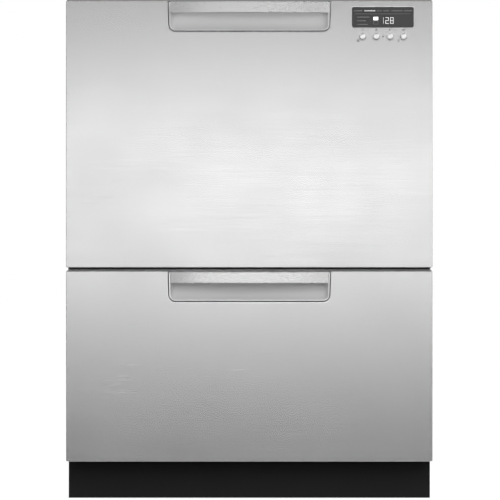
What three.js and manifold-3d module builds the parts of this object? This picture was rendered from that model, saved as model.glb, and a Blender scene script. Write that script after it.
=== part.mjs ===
// A dishwasher with two drawers, drawn closed. Millimetres, +Z up, the fronts face -Y.
// The origin lies on the floor, under the middle of the whole unit.

import * as THREE from 'three';
import { mergeVertices } from 'three/addons/utils/BufferGeometryUtils.js';
import Module from 'manifold-3d';

const wasm = await Module();
wasm.setup();

// ---- driving dimensions: the whole unit ----
const FRONT_WIDTH = 599;
const UNIT_HEIGHT = 820;
const UNIT_DEPTH = 585;
const SEAT = 0.3;              // clearance between pieces that touch
const RUNNING = 0.5;           // clearance between pieces that slide on each other
const BITE = 0.4;              // how far joined bodies reach into each other

// ---- fronts ----
const FRONT_THICK = 26;
const FRONT_SKIN = 1.2;
const HEM_WIDTH = 12;
const TOP_CHAMFER = 4;
const LOWER_FRONT_BOTTOM = 63.8;
const UPPER_EXTRA = 125;       // how much taller the upper front is, for its controls
const DRAWER_GAP = 2.8;

// ---- handles ----
const HANDLE_PROUD = 12;
const HANDLE_WIDTH = 267;
const HANDLE_HEIGHT = 49;
const HANDLE_TAPER = 1.5;
const HANDLE_CORNER = 11;
const HANDLE_DROP = 0.2;       // from the chamfer down to the handle's opening
const HANDLE_RIM = 2.4;
const RIM_PROUD = 0.6;
const SCOOP_WALL = 1.6;
const SCOOP_END_RADIUS = 16;
const BAR_HEIGHT = 18.5;
const BAR_THICK = 9;
const BAR_END_PROUD = 1;
const BAR_EDGE = 2.4;

// ---- cabinet ----
const CABINET_INSET = 2;       // from the fronts' edges to the cabinet's sides
const SHEET = 1.2;
const DOOR_GAP = 2.7;
const FLANGE = 12;
const EDGE_HEM = 10;
const SIDE_BOTTOM = 20;
const BEAD_WIDTH = 26;
const BEAD_RISE = 1.4;
const BEAD_SLOPE = 4;          // width of the sloping side of a bead
const BEAD_SETBACK = 90;       // from the roof's front and rear edges to the first beads
const TOE_DEPTH = 60;
const TOE_HEIGHT = 70;
const KICK_GAP = 0.6;
const KICK_INSET = 1.5;
const KICK_LIP = 14;
const MID_RAIL_RISE = 24;      // above the top of the lower front
const MID_RAIL_HEIGHT = 30;
const MID_RAIL_DEPTH = 22;
const SERVICE_DEPTH = 54;      // recess for the hose and cable fittings
const SERVICE_HEIGHT = 112;
const INLET_FROM_SIDE = 107.5;
const DRAIN_FROM_SIDE = 147.5;
const GLAND_FROM_SIDE = 73.5;

// ---- base and feet ----
const PAN_LEVEL = 58;
const PAN_SHEET = 2;
const RAIL_WIDTH = 46;
const FOOT_INSET_X = 34;
const FOOT_INSET_Y = 40;
const FOOT_PAD_RADIUS = 20;
const FOOT_PAD_HEIGHT = 8;
const FOOT_STEM_RADIUS = 5;
const FOOT_STEM_TOP = 72;
const BOSS_WALL = 5;

// ---- drawers ----
const RIM_DROP = 12;           // from the top of the lower front to its tub's rim
const LID_ROOM = 83;           // from the upper tub's rim to the top of the unit
const WASH_ROOM = 141;         // under the lower tub
const TUB_BACK_ROOM = 106;     // the unit's depth that the tub leaves free
const TUB_WALL = 3.5;
const TUB_CORNER = 42;
const TUB_FLOOR_RADIUS = 22;
const TUB_RIM_OUT = 6;
const TUB_RIM_HEIGHT = 9;
const BOARD_THICK = 3;         // how far the fronts' inner board stands behind their hem
const BOARD_SHEET = 0.8;
const BOARD_MARGIN = 1.5;
const SUMP_RADIUS = 100;
const SUMP_DEPTH = 28;
const SHAFT_HOLE = 9;
const RIB_THICK = 3;
const RIB_DEPTH = 14;
const PAD_SIZE = 34;

// ---- runners ----
const RUNNER_WIDTH = 12.7;
const RUNNER_HEIGHT = 46;
const RUNNER_SHORTER = 19;     // than the tub
const RUNNER_LEVEL = 0.4;      // share of the tub's depth, from its rim down to the runner's middle
const RUNNER_SHEET = 1.5;
const RUNNER_SETBACK = 2;      // behind the hem of the cabinet's side

// ---- lids ----
const LID_THICK = 16;
const LID_SKIN = 2.5;
const LID_MARGIN = 3;
const LID_CORNER = 30;
const SEAL_WIDTH = 9;
const SEAL_HEIGHT = 6;
const LUG_WIDTH = 20;
const LUG_SETBACK = 60;        // from the lid's front and rear edges
const LID_RIB_SETBACK = 120;
const LID_RIB_DROP = 3;        // below the lid's top; the spine across them lies a sheet lower
const GUIDE_RISE = 34;
const GUIDE_RIB = 3;

// ---- wash parts ----
const MOTOR_RADIUS = 62;
const MOTOR_HEIGHT = 36;
const SHAFT_RADIUS = 6;
const ARM_WALL_GAP = 40;
const ARM_THICK = 10;
const ARM_HUB_RADIUS = 24;
const ARM_ABOVE_FLOOR = 11;
const FILTER_OVERLAP = 8;
const FILTER_THICK = 2;
const FILTER_SLOTS = 12;

// ---- basket ----
const WIRE = 4;
const BASKET_SHARE = 4 / 9;    // of the tub's depth
const BASKET_ABOVE_FLOOR = 33;
const BASKET_SIDE_GAP = 14;
const BASKET_FRONT_GAP = 22;
const BASKET_CORNER = 26;
const LENGTH_WIRES = 7;
const CROSS_WIRES = 5;
const TINE_DROP = 38;          // below the basket's rim wire
const TINE_ROWS = 3;
const CUTLERY_WIDTH = 150;
const CUTLERY_DEPTH = 62;
const CUTLERY_EXTRA = 4;       // taller than the wire basket
const CUTLERY_WALL = 2;
const CUP_RACK_LENGTH = 230;
const CUP_RACK_WIDTH = 66;
const CUP_RACK_THICK = 3;

// ---- detergent dispenser ----
const DISPENSER_WIDTH = 132;
const DISPENSER_HEIGHT = 60;
const DISPENSER_DEPTH = 15;
const DISPENSER_X = -75;
const DISPENSER_DROP = 10;
const POCKET_WIDTH = 62;
const POCKET_HEIGHT = 44;
const POCKET_DEPTH = 11;
const DOOR_THICK = 3;
const DOOR_BARREL = 2.1;

// ---- controls ----
const WINDOW_WIDTH = 100;
const WINDOW_HEIGHT = 32;
const WINDOW_FROM_EDGE = 81.5; // from the front's right edge to the window's middle
const WINDOW_FROM_TOP = 30.2;
const WINDOW_THICK = 1.6;
const WINDOW_CORNER = 2.5;
const BUTTON_RADIUS = 4.9;
const BUTTON_PITCH = 22.3;
const BUTTON_BACK = 33;        // first button, left of the window's middle
const BUTTON_DROP = 31.6;      // below the window's middle
const BUTTON_COUNT = 4;
const BUTTON_PROUD = 1.6;
const BUTTON_TRAVEL = 1;
const BUTTON_COLLAR = 1.6;
const BUTTON_LEDGE = 1.2;
const BUTTON_STEM = 2.5;
const MODULE_DEPTH = 14;
const MODULE_EDGE = 6;

// ---- places worked out from the sizes ----
const CREST_Y = -UNIT_DEPTH / 2;
const BACK_Y = UNIT_DEPTH / 2;
const LOWER_FRONT_HEIGHT = (UNIT_HEIGHT - LOWER_FRONT_BOTTOM - DRAWER_GAP - UPPER_EXTRA) / 2;
const LOWER_FRONT_TOP = LOWER_FRONT_BOTTOM + LOWER_FRONT_HEIGHT;
const LOWER_RIM = LOWER_FRONT_TOP - RIM_DROP;
const UPPER_RIM = UNIT_HEIGHT - LID_ROOM;
const TUB_LENGTH = UNIT_DEPTH - TUB_BACK_ROOM;
const TUB_DEPTH = LOWER_RIM - WASH_ROOM;
const RUNNER_LENGTH = TUB_LENGTH - RUNNER_SHORTER;
const RUNNER_DROP = TUB_DEPTH * RUNNER_LEVEL;
const FACE_Y = CREST_Y + HANDLE_PROUD;
const HEM_Y = FACE_Y + FRONT_THICK;
const BOARD_Y = HEM_Y + BOARD_THICK;
const RECESS_BACK = HEM_Y - FRONT_SKIN - SEAT;
const TUB_Y = BOARD_Y + SEAT;
const TUB_BACK_Y = TUB_Y + TUB_LENGTH;
const CABINET_Y = TUB_Y + DOOR_GAP;
const SIDE_X = FRONT_WIDTH / 2 - CABINET_INSET;
const INNER_X = SIDE_X - SHEET;
const TUB_X = INNER_X - SEAT - RUNNER_WIDTH - SEAT;
const UPPER_FRONT_BOTTOM = LOWER_FRONT_TOP + DRAWER_GAP;
const ROOF_Z = UNIT_HEIGHT - BEAD_RISE;
const SIDE_TOP = ROOF_Z - SHEET - SEAT;
const BACK_PANEL_Y = BACK_Y - SHEET;
const REAR_FLANGE_Y = BACK_PANEL_Y - SEAT;
const KICK_Y = FACE_Y + TOE_DEPTH;
const KICK_BACK_Y = KICK_Y + KICK_LIP;
const BASE_Y = KICK_BACK_Y + SEAT;
const SERVICE_Y = BACK_Y - SERVICE_DEPTH;
const FOOT_X = SIDE_X - FOOT_INSET_X;
const FLOOR_Z = -TUB_DEPTH + TUB_WALL;
const SUMP_Z = -TUB_DEPTH - SUMP_DEPTH;
const BASKET_Z = FLOOR_Z + BASKET_ABOVE_FLOOR;
const BASKET_HEIGHT = TUB_DEPTH * BASKET_SHARE;
const BASKET_TOP = BASKET_Z + BASKET_HEIGHT;
const TINE_HEIGHT = BASKET_HEIGHT - TINE_DROP;
const CUTLERY_HEIGHT = BASKET_HEIGHT + CUTLERY_EXTRA;
const BASKET_X = TUB_X - TUB_WALL - BASKET_SIDE_GAP;
const BASKET_FRONT = TUB_Y + TUB_WALL + BASKET_FRONT_GAP;
const BASKET_BACK = TUB_BACK_Y - TUB_WALL - BASKET_SIDE_GAP;
const TUB_MIDDLE_Y = (TUB_Y + TUB_BACK_Y) / 2;
const ARM_RADIUS = TUB_LENGTH / 2 - TUB_WALL - ARM_WALL_GAP;
const RACK_AXIS_X = -BASKET_X + WIRE / 2;
const RACK_AXIS_Z = BASKET_TOP - WIRE / 2;
const WINDOW_X = FRONT_WIDTH / 2 - WINDOW_FROM_EDGE;
const WINDOW_Z = UNIT_HEIGHT - WINDOW_FROM_TOP;
const BUTTON_X = WINDOW_X - BUTTON_BACK;
const BUTTON_Z = WINDOW_Z - BUTTON_DROP;
const MID_RAIL_BOTTOM = LOWER_FRONT_TOP + MID_RAIL_RISE;

// ---- finishes ----
function finish(color, roughness, metalness) {
  return new THREE.MeshStandardMaterial({ color, roughness, metalness, flatShading: true });
}

const brushedSteel = finish(0xc9cacb, 0.34, 1);
const polishedSteel = finish(0xd6d7d8, 0.18, 1);
const zincSteel = finish(0x9fa4a8, 0.45, 1);
const darkPaint = finish(0x26272a, 0.6, 0);
const blackPlastic = finish(0x1c1d1f, 0.5, 0);
const tubPlastic = finish(0xc6c9cc, 0.5, 0);
const lidPlastic = finish(0xdadcdd, 0.45, 0);
const greyPlastic = finish(0x8f9499, 0.5, 0);
const coatedWire = finish(0xa9adb2, 0.42, 0);
const sealRubber = finish(0x3a3b3d, 0.75, 0);
const smokedWindow = finish(0x454545, 0.12, 0);
const brass = finish(0xb9975a, 0.35, 1);

// ---- solids: a closed geometry becomes a body that can be joined and cut ----
function solid(geometry) {
  const bare = geometry.clone();
  bare.deleteAttribute('normal');
  bare.deleteAttribute('uv');
  const merged = mergeVertices(bare, 1e-4);
  const corners = merged.index.array;
  const kept = [];
  for (let i = 0; i < corners.length; i += 3) {
    const [a, b, c] = [corners[i], corners[i + 1], corners[i + 2]];
    if (a !== b && b !== c && c !== a) kept.push(a, b, c);
  }
  return new wasm.Manifold(new wasm.Mesh({
    numProp: 3,
    vertProperties: new Float32Array(merged.attributes.position.array),
    triVerts: new Uint32Array(kept),
  }));
}

function joined(...bodies) {
  return bodies.flat().reduce((whole, body) => whole.add(body));
}

function cut(body, ...tools) {
  return tools.flat().reduce((whole, tool) => whole.subtract(tool), body);
}

function piece(name, body, material) {
  const { vertProperties, triVerts } = body.getMesh();
  const geometry = new THREE.BufferGeometry();
  geometry.setAttribute('position', new THREE.BufferAttribute(vertProperties, 3));
  geometry.setIndex(new THREE.BufferAttribute(triVerts, 1));
  geometry.computeVertexNormals();
  const mesh = new THREE.Mesh(geometry, material);
  mesh.name = name;
  return mesh;
}

function block(x0, x1, y0, y1, z0, z1) {
  const geometry = new THREE.BoxGeometry(x1 - x0, y1 - y0, z1 - z0);
  geometry.translate((x0 + x1) / 2, (y0 + y1) / 2, (z0 + z1) / 2);
  return solid(geometry);
}

function outlineOf(points) {
  return new THREE.Shape(points.map(([u, v]) => new THREE.Vector2(u, v)));
}

function roundedOutline(u0, u1, v0, v1, radius) {
  const shape = new THREE.Shape();
  shape.absarc(u1 - radius, v1 - radius, radius, 0, Math.PI / 2);
  shape.absarc(u0 + radius, v1 - radius, radius, Math.PI / 2, Math.PI);
  shape.absarc(u0 + radius, v0 + radius, radius, Math.PI, Math.PI * 1.5);
  shape.absarc(u1 - radius, v0 + radius, radius, Math.PI * 1.5, Math.PI * 2);
  return shape;
}

// An outline carried along one axis. Its own axes are x,z along Y, y,z along X and x,y along Z.
function sweep(shape, from, to, options) {
  const settings = { curveSegments: 4, bevelEnabled: false, steps: 1, ...options };
  const bevel = settings.bevelEnabled ? settings.bevelThickness : 0;
  const geometry = new THREE.ExtrudeGeometry(shape, { ...settings, depth: to - from - 2 * bevel });
  geometry.translate(0, 0, from + bevel);
  return geometry;
}

function alongZ(shape, z0, z1, options) {
  return solid(sweep(shape, z0, z1, options));
}

function alongY(shape, y0, y1, options) {
  return solid(sweep(shape, -y1, -y0, options).rotateX(Math.PI / 2));
}

function alongX(shape, x0, x1, options) {
  const turn = new THREE.Matrix4().makeBasis(
    new THREE.Vector3(0, 1, 0),
    new THREE.Vector3(0, 0, 1),
    new THREE.Vector3(1, 0, 0),
  );
  return solid(sweep(shape, x0, x1, options).applyMatrix4(turn));
}

function rounding(radius, segments) {
  return {
    bevelEnabled: true,
    bevelThickness: radius,
    bevelSize: radius,
    bevelOffset: -radius,
    bevelSegments: segments,
  };
}

// A profile of [radius, height] pairs turned about a vertical line through x, y.
function turned(profile, x, y, segments = 24) {
  const points = profile.map(([radius, height]) => new THREE.Vector2(radius, height));
  const geometry = new THREE.LatheGeometry(points, segments);
  geometry.rotateX(Math.PI / 2);
  geometry.translate(x, y, 0);
  return solid(geometry);
}

function disc(radius, z0, z1, x, y, segments = 20) {
  return turned([[0, z0], [radius, z0], [radius, z1], [0, z1]], x, y, segments);
}

// The same turned profile, lying along Y instead of standing up.
function turnedAlongY(profile, x, z, segments = 16) {
  const points = profile.map(([radius, along]) => new THREE.Vector2(radius, along));
  const geometry = new THREE.LatheGeometry(points, segments);
  geometry.translate(x, 0, z);
  return solid(geometry);
}

function rodAlongY(radius, y0, y1, x, z, segments) {
  return turnedAlongY([[0, y0], [radius, y0], [radius, y1], [0, y1]], x, z, segments);
}

function rodAlongX(radius, x0, x1, y, z, segments = 12) {
  const geometry = new THREE.CylinderGeometry(radius, radius, x1 - x0, segments);
  geometry.rotateZ(Math.PI / 2);
  geometry.translate((x0 + x1) / 2, y, z);
  return solid(geometry);
}

function spread(count, from, to) {
  return Array.from({ length: count }, (_, i) => from + ((to - from) * i) / (count - 1));
}

// ---- fronts and handles ----
const OPENING_DROP = TOP_CHAMFER + HANDLE_DROP;

// The front seen from ahead: a rectangle whose top corners are cut across at 45 degrees.
function frontOutline(inset, bottom, top) {
  const half = FRONT_WIDTH / 2 - inset;
  const clip = TOP_CHAMFER - inset * (2 - Math.SQRT2);
  const low = bottom + inset;
  const high = top - inset;
  return outlineOf([
    [-half, low],
    [half, low],
    [half, high - clip],
    [half - clip, high],
    [-half + clip, high],
    [-half, high - clip],
  ]);
}

// The front seen from its side: the top edge of the face leans back.
function frontProfile(inset, bottom, top) {
  const clip = TOP_CHAMFER - inset * (2 - Math.SQRT2);
  const face = FACE_Y + inset;
  const rear = HEM_Y - inset;
  const low = bottom + inset;
  const high = top - inset;
  return outlineOf([
    [face, low],
    [rear, low],
    [rear, high],
    [face + clip, high],
    [face, high - clip],
  ]);
}

function frontShell(inset, bottom, top) {
  const half = FRONT_WIDTH / 2 - inset;
  const length = alongX(frontProfile(inset, bottom, top), -half, half);
  return length.intersect(alongY(frontOutline(inset, bottom, top), FACE_Y + inset, HEM_Y - inset));
}

// The handle's opening: straight along the top, drawn in a little and rounded at the bottom.
function handleOutline(inset, top) {
  const upper = HANDLE_WIDTH / 2 - inset;
  const lower = upper - HANDLE_TAPER;
  const high = top - OPENING_DROP - inset;
  const low = top - OPENING_DROP - HANDLE_HEIGHT + inset;
  const radius = HANDLE_CORNER - inset;
  const shape = new THREE.Shape();
  shape.moveTo(-upper, high);
  shape.lineTo(-lower, low + radius);
  shape.quadraticCurveTo(-lower, low, -lower + radius, low);
  shape.lineTo(lower - radius, low);
  shape.quadraticCurveTo(lower, low, lower, low + radius);
  shape.lineTo(upper, high);
  return shape;
}

// A folded sheet with a hem round its back, closed by a shallow pressed tray that the tub seats on.
function frontPanel(bottom, top, holes) {
  const shell = cut(frontShell(0, bottom, top), frontShell(FRONT_SKIN, bottom, top));
  const half = FRONT_WIDTH / 2 - HEM_WIDTH;
  const back = block(-half, half, HEM_Y - 2 * FRONT_SKIN, HEM_Y + 1, bottom + HEM_WIDTH, top - HEM_WIDTH);
  const opening = alongY(handleOutline(0, top), FACE_Y - 1, HEM_Y - FRONT_SKIN);
  const reach = FRONT_WIDTH / 2 - HEM_WIDTH / 2;
  const low = bottom + BOARD_MARGIN;
  const high = top - TOP_CHAMFER;
  const board = block(-reach, reach, HEM_Y - BITE, BOARD_Y, low, high);
  const pan = block(
    -half,
    half,
    HEM_Y - 2 * BITE,
    BOARD_Y - BOARD_SHEET,
    bottom + HEM_WIDTH,
    top - HEM_WIDTH,
  );
  return joined(cut(shell, back, opening, holes), cut(board, pan));
}

// The recess is hollowed by a bowl whose section climbs from the lower lip to behind the bar.
function handleRecess(top) {
  const floor = top - OPENING_DROP - HANDLE_HEIGHT + SEAT + HANDLE_RIM;
  const roof = top - OPENING_DROP - SEAT - SCOOP_WALL;
  const deep = RECESS_BACK - SCOOP_WALL;
  const mouth = FACE_Y - RIM_PROUD - 1;
  const half = HANDLE_WIDTH / 2 - HANDLE_TAPER - SEAT - HANDLE_RIM;
  const bowl = new THREE.Shape();
  bowl.moveTo(mouth, floor);
  bowl.lineTo(FACE_Y, floor);
  bowl.quadraticCurveTo(deep, floor + BAR_HEIGHT / 4, deep, floor + BAR_HEIGHT * 1.5);
  bowl.lineTo(deep, roof);
  bowl.lineTo(mouth, roof);
  const plan = new THREE.Shape();
  plan.moveTo(-half, mouth);
  plan.lineTo(half, mouth);
  plan.lineTo(half, deep - SCOOP_END_RADIUS);
  plan.quadraticCurveTo(half, deep, half - SCOOP_END_RADIUS, deep);
  plan.lineTo(-half + SCOOP_END_RADIUS, deep);
  plan.quadraticCurveTo(-half, deep, -half, deep - SCOOP_END_RADIUS);
  const hollow = alongX(bowl, -half, half, { curveSegments: 8 })
    .intersect(alongZ(plan, floor - 1, roof + 1, { curveSegments: 5 }));
  const body = alongY(handleOutline(SEAT, top), FACE_Y - RIM_PROUD, RECESS_BACK);
  const barSeat = block(-half, half, mouth, FACE_Y + BAR_THICK, roof - 1, top);
  return cut(body, hollow, barSeat);
}

// A bar bowed forward in plan, with its long edges rounded.
function handleBar(top) {
  const half = HANDLE_WIDTH / 2 - HANDLE_TAPER - 2 * SEAT - HANDLE_RIM;
  const high = top - OPENING_DROP - SEAT;
  const end = FACE_Y - BAR_END_PROUD;
  const pull = 2 * CREST_Y - end;
  const plan = new THREE.Shape();
  plan.moveTo(-half, end);
  plan.quadraticCurveTo(0, pull, half, end);
  plan.lineTo(half, end + BAR_THICK);
  plan.quadraticCurveTo(0, pull + BAR_THICK, -half, end + BAR_THICK);
  return alongZ(plan, high - BAR_HEIGHT, high, { curveSegments: 10, ...rounding(BAR_EDGE, 2) });
}

// ---- controls in the upper front ----
function buttonPlaces() {
  return Array.from({ length: BUTTON_COUNT }, (_, i) => BUTTON_X + i * BUTTON_PITCH);
}

function controlHoles() {
  const half = WINDOW_WIDTH / 2 + SEAT;
  const rise = WINDOW_HEIGHT / 2 + SEAT;
  const inside = FACE_Y + FRONT_SKIN + 1;
  const window = roundedOutline(
    WINDOW_X - half,
    WINDOW_X + half,
    WINDOW_Z - rise,
    WINDOW_Z + rise,
    WINDOW_CORNER,
  );
  const holes = buttonPlaces().map((x) => (
    rodAlongY(BUTTON_RADIUS + SEAT, FACE_Y - 1, inside, x, BUTTON_Z, 12)
  ));
  return [alongY(window, FACE_Y - 1, inside, { curveSegments: 2 }), ...holes];
}

function displayWindow() {
  const half = WINDOW_WIDTH / 2;
  const rise = WINDOW_HEIGHT / 2;
  const shape = roundedOutline(
    WINDOW_X - half,
    WINDOW_X + half,
    WINDOW_Z - rise,
    WINDOW_Z + rise,
    WINDOW_CORNER,
  );
  return alongY(shape, FACE_Y, FACE_Y + WINDOW_THICK, { curveSegments: 2 });
}

// A shallow domed cap with a collar behind the skin and a stem that slides in the module's well.
function button(x) {
  const front = FACE_Y - BUTTON_PROUD;
  const collar = FACE_Y + FRONT_SKIN + SEAT;
  const profile = [
    [0, front],
    [BUTTON_RADIUS * 0.6, front + 0.3],
    [BUTTON_RADIUS, front + 1.2],
    [BUTTON_RADIUS, collar],
    [BUTTON_RADIUS + BUTTON_LEDGE, collar],
    [BUTTON_RADIUS + BUTTON_LEDGE, collar + BUTTON_COLLAR],
    [BUTTON_STEM, collar + BUTTON_COLLAR],
    [BUTTON_STEM, collar + MODULE_DEPTH / 2],
    [0, collar + MODULE_DEPTH / 2],
  ];
  return turnedAlongY(profile, x, BUTTON_Z, 12);
}

function controlModule() {
  const front = FACE_Y + FRONT_SKIN + SEAT;
  const rear = front + MODULE_DEPTH;
  const left = BUTTON_X - BUTTON_PITCH;
  const right = WINDOW_X + WINDOW_WIDTH / 2 + MODULE_EDGE;
  const low = BUTTON_Z - BUTTON_PITCH / 2;
  const high = WINDOW_Z + WINDOW_HEIGHT / 2 + MODULE_EDGE;
  const body = block(left, right, front, rear, low, high);
  const half = WINDOW_WIDTH / 2 + SEAT;
  const rise = WINDOW_HEIGHT / 2 + SEAT;
  const windowSeat = block(
    WINDOW_X - half,
    WINDOW_X + half,
    front - 1,
    FACE_Y + WINDOW_THICK + SEAT,
    WINDOW_Z - rise,
    WINDOW_Z + rise,
  );
  const collarDepth = BUTTON_COLLAR + BUTTON_TRAVEL + SEAT;
  const stemDepth = MODULE_DEPTH / 2 + BUTTON_TRAVEL + SEAT;
  const well = (x, radius, depth) => block(
    x - radius - SEAT,
    x + radius + SEAT,
    front - 1,
    front + depth,
    BUTTON_Z - radius - SEAT,
    BUTTON_Z + radius + SEAT,
  );
  const wells = buttonPlaces().flatMap((x) => [
    well(x, BUTTON_RADIUS + BUTTON_LEDGE, collarDepth),
    well(x, BUTTON_STEM, stemDepth),
  ]);
  return cut(body, windowSeat, wells);
}

// ---- tub ----
function tubBody(inset, top) {
  const shape = roundedOutline(
    -TUB_X + inset,
    TUB_X - inset,
    TUB_Y + inset,
    TUB_BACK_Y - inset,
    TUB_CORNER - inset,
  );
  const radius = TUB_FLOOR_RADIUS - inset;
  const bottom = -TUB_DEPTH + inset;
  const settings = { curveSegments: 3, ...rounding(radius, 2) };
  const body = alongZ(shape, bottom, top + 2 * TUB_FLOOR_RADIUS, settings);
  const above = block(-FRONT_WIDTH, FRONT_WIDTH, -UNIT_DEPTH, UNIT_DEPTH, top, UNIT_HEIGHT);
  return cut(body, above);
}

function radialRibs() {
  const inner = SUMP_RADIUS - TUB_WALL;
  const outer = TUB_LENGTH / 2 - TUB_FLOOR_RADIUS;
  return Array.from({ length: 8 }, (_, i) => {
    const geometry = new THREE.BoxGeometry(outer - inner, RIB_THICK, RIB_DEPTH);
    geometry.translate((outer + inner) / 2, 0, -TUB_DEPTH - RIB_DEPTH / 2 + BITE);
    geometry.rotateZ(((i + 0.5) * Math.PI) / 4);
    geometry.translate(0, TUB_MIDDLE_Y, 0);
    return solid(geometry);
  });
}

function backRibs() {
  return spread(5, -TUB_X + 2 * TUB_CORNER, TUB_X - 2 * TUB_CORNER).map((x) => block(
    x - RIB_THICK / 2,
    x + RIB_THICK / 2,
    TUB_BACK_Y - BITE,
    TUB_BACK_Y + TUB_RIM_OUT - 1,
    -TUB_DEPTH + TUB_FLOOR_RADIUS,
    -TUB_RIM_HEIGHT + BITE,
  ));
}

// Four blocks on the floor's corners, under the basket and clear of the arm's circle.
function basketPads() {
  const half = PAD_SIZE / 2;
  const x = BASKET_X - half;
  const places = [
    [-x, BASKET_FRONT + half],
    [x, BASKET_FRONT + half],
    [-x, BASKET_BACK - half],
    [x, BASKET_BACK - half],
  ];
  return places.map(([px, py]) => block(
    px - half,
    px + half,
    py - half,
    py + half,
    FLOOR_Z - 1,
    BASKET_Z - SEAT,
  ));
}

function tub() {
  const rimShape = roundedOutline(
    -TUB_X - TUB_RIM_OUT,
    TUB_X + TUB_RIM_OUT,
    TUB_Y,
    TUB_BACK_Y + TUB_RIM_OUT,
    TUB_CORNER,
  );
  const rim = alongZ(rimShape, -TUB_RIM_HEIGHT, 0, { curveSegments: 3 });
  const sump = disc(SUMP_RADIUS + TUB_WALL, SUMP_Z, FLOOR_Z - 1, 0, TUB_MIDDLE_Y);
  const outside = joined(tubBody(0, -1), rim, sump, radialRibs(), backRibs());
  const sumpHollow = disc(SUMP_RADIUS, SUMP_Z + TUB_WALL, FLOOR_Z + 1, 0, TUB_MIDDLE_Y);
  const shaftHole = disc(SHAFT_HOLE, SUMP_Z - 1, FLOOR_Z, 0, TUB_MIDDLE_Y, 16);
  const hollowed = cut(outside, tubBody(TUB_WALL, 1), sumpHollow, shaftHole);
  return joined(hollowed, basketPads());
}

// ---- wash parts, in the drawer's own height with the rim at zero ----
function washMotor() {
  const top = SUMP_Z - SEAT;
  const low = top - MOTOR_HEIGHT;
  const shaftTop = FLOOR_Z + ARM_ABOVE_FLOOR + ARM_THICK / 2;
  const body = turned([
    [0, low],
    [MOTOR_RADIUS * 0.55, low],
    [MOTOR_RADIUS * 0.62, low + 5],
    [MOTOR_RADIUS - 4, low + 7],
    [MOTOR_RADIUS, low + 11],
    [MOTOR_RADIUS, top - 8],
    [MOTOR_RADIUS + 9, top - 6],
    [MOTOR_RADIUS + 9, top],
    [SHAFT_RADIUS, top],
    [SHAFT_RADIUS, shaftTop],
    [0, shaftTop],
  ], 0, TUB_MIDDLE_Y, 14);
  const outlet = rodAlongY(
    11,
    TUB_MIDDLE_Y + MOTOR_RADIUS - 6,
    TUB_MIDDLE_Y + MOTOR_RADIUS + 34,
    0,
    low + MOTOR_HEIGHT / 2,
    12,
  );
  return joined(body, outlet);
}

function sprayArm() {
  const low = FLOOR_Z + ARM_ABOVE_FLOOR;
  const high = low + ARM_THICK;
  const tip = ARM_RADIUS;
  const blade = new THREE.Shape();
  blade.moveTo(0, ARM_HUB_RADIUS * 0.8);
  blade.bezierCurveTo(tip * 0.3, 4, tip * 0.6, 34, tip * 0.96, 30);
  blade.quadraticCurveTo(tip + 2, 18, tip * 0.95, 4);
  blade.bezierCurveTo(tip * 0.6, 2, tip * 0.35, -30, 0, -ARM_HUB_RADIUS * 0.8);
  blade.bezierCurveTo(-tip * 0.3, -4, -tip * 0.6, -34, -tip * 0.96, -30);
  blade.quadraticCurveTo(-tip - 2, -18, -tip * 0.95, -4);
  blade.bezierCurveTo(-tip * 0.6, -2, -tip * 0.35, 30, 0, ARM_HUB_RADIUS * 0.8);
  const arms = alongZ(blade, low, high, { curveSegments: 5, ...rounding(2.5, 1) });
  const hub = turned([
    [0, low - ARM_ABOVE_FLOOR + 6],
    [ARM_HUB_RADIUS * 0.7, low - ARM_ABOVE_FLOOR + 6],
    [ARM_HUB_RADIUS, low],
    [ARM_HUB_RADIUS, high],
    [ARM_HUB_RADIUS * 0.6, high + 5],
    [0, high + 6],
  ], 0, 0, 14);
  const nozzles = [0.35, 0.58, 0.84].flatMap((share) => [-1, 1].map((side) => (
    turned([[0, high - 1], [6, high - 1], [4, high + 3], [0, high + 3]],
      side * share * tip, side * share * 22, 6)
  )));
  const shaftTop = low + ARM_THICK / 2;
  const bore = disc(SHAFT_RADIUS + SEAT, low - ARM_ABOVE_FLOOR, shaftTop + SEAT, 0, 0, 16);
  return cut(joined(arms, hub, nozzles), bore);
}

function filterPlate() {
  const low = FLOOR_Z + SEAT;
  const outer = SUMP_RADIUS + FILTER_OVERLAP;
  const shape = new THREE.Shape().absarc(0, 0, outer, 0, Math.PI * 2);
  const middle = new THREE.Path().absarc(0, 0, ARM_HUB_RADIUS + 5, 0, Math.PI * 2, true);
  shape.holes.push(middle);
  for (let i = 0; i < FILTER_SLOTS; i += 1) {
    const angle = (i * Math.PI * 2) / FILTER_SLOTS;
    const along = new THREE.Vector2(Math.cos(angle), Math.sin(angle));
    const across = new THREE.Vector2(-along.y, along.x);
    const corner = (reach, side) => along.clone().multiplyScalar(reach).addScaledVector(across, side);
    const inner = ARM_HUB_RADIUS + 14;
    const far = SUMP_RADIUS - 8;
    shape.holes.push(new THREE.Path([
      corner(inner, 2),
      corner(far, 5),
      corner(far, -5),
      corner(inner, -2),
    ]));
  }
  const plate = alongZ(shape, low, low + FILTER_THICK, { curveSegments: 10 });
  const collar = turned([
    [ARM_HUB_RADIUS + 6, low + 1],
    [ARM_HUB_RADIUS + 12, low + 1],
    [ARM_HUB_RADIUS + 9, low + 6],
    [ARM_HUB_RADIUS + 6, low + 1],
  ], 0, 0, 16);
  return joined(plate, collar);
}

// ---- basket of welded wires ----
function wireLoop(level) {
  const half = BASKET_X;
  const shape = roundedOutline(-half, half, BASKET_FRONT, BASKET_BACK, BASKET_CORNER);
  const inner = roundedOutline(
    -half + WIRE,
    half - WIRE,
    BASKET_FRONT + WIRE,
    BASKET_BACK - WIRE,
    BASKET_CORNER - WIRE,
  );
  shape.holes.push(new THREE.Path(inner.getPoints(3)));
  return alongZ(shape, level, level + WIRE, { curveSegments: 3 });
}

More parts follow.
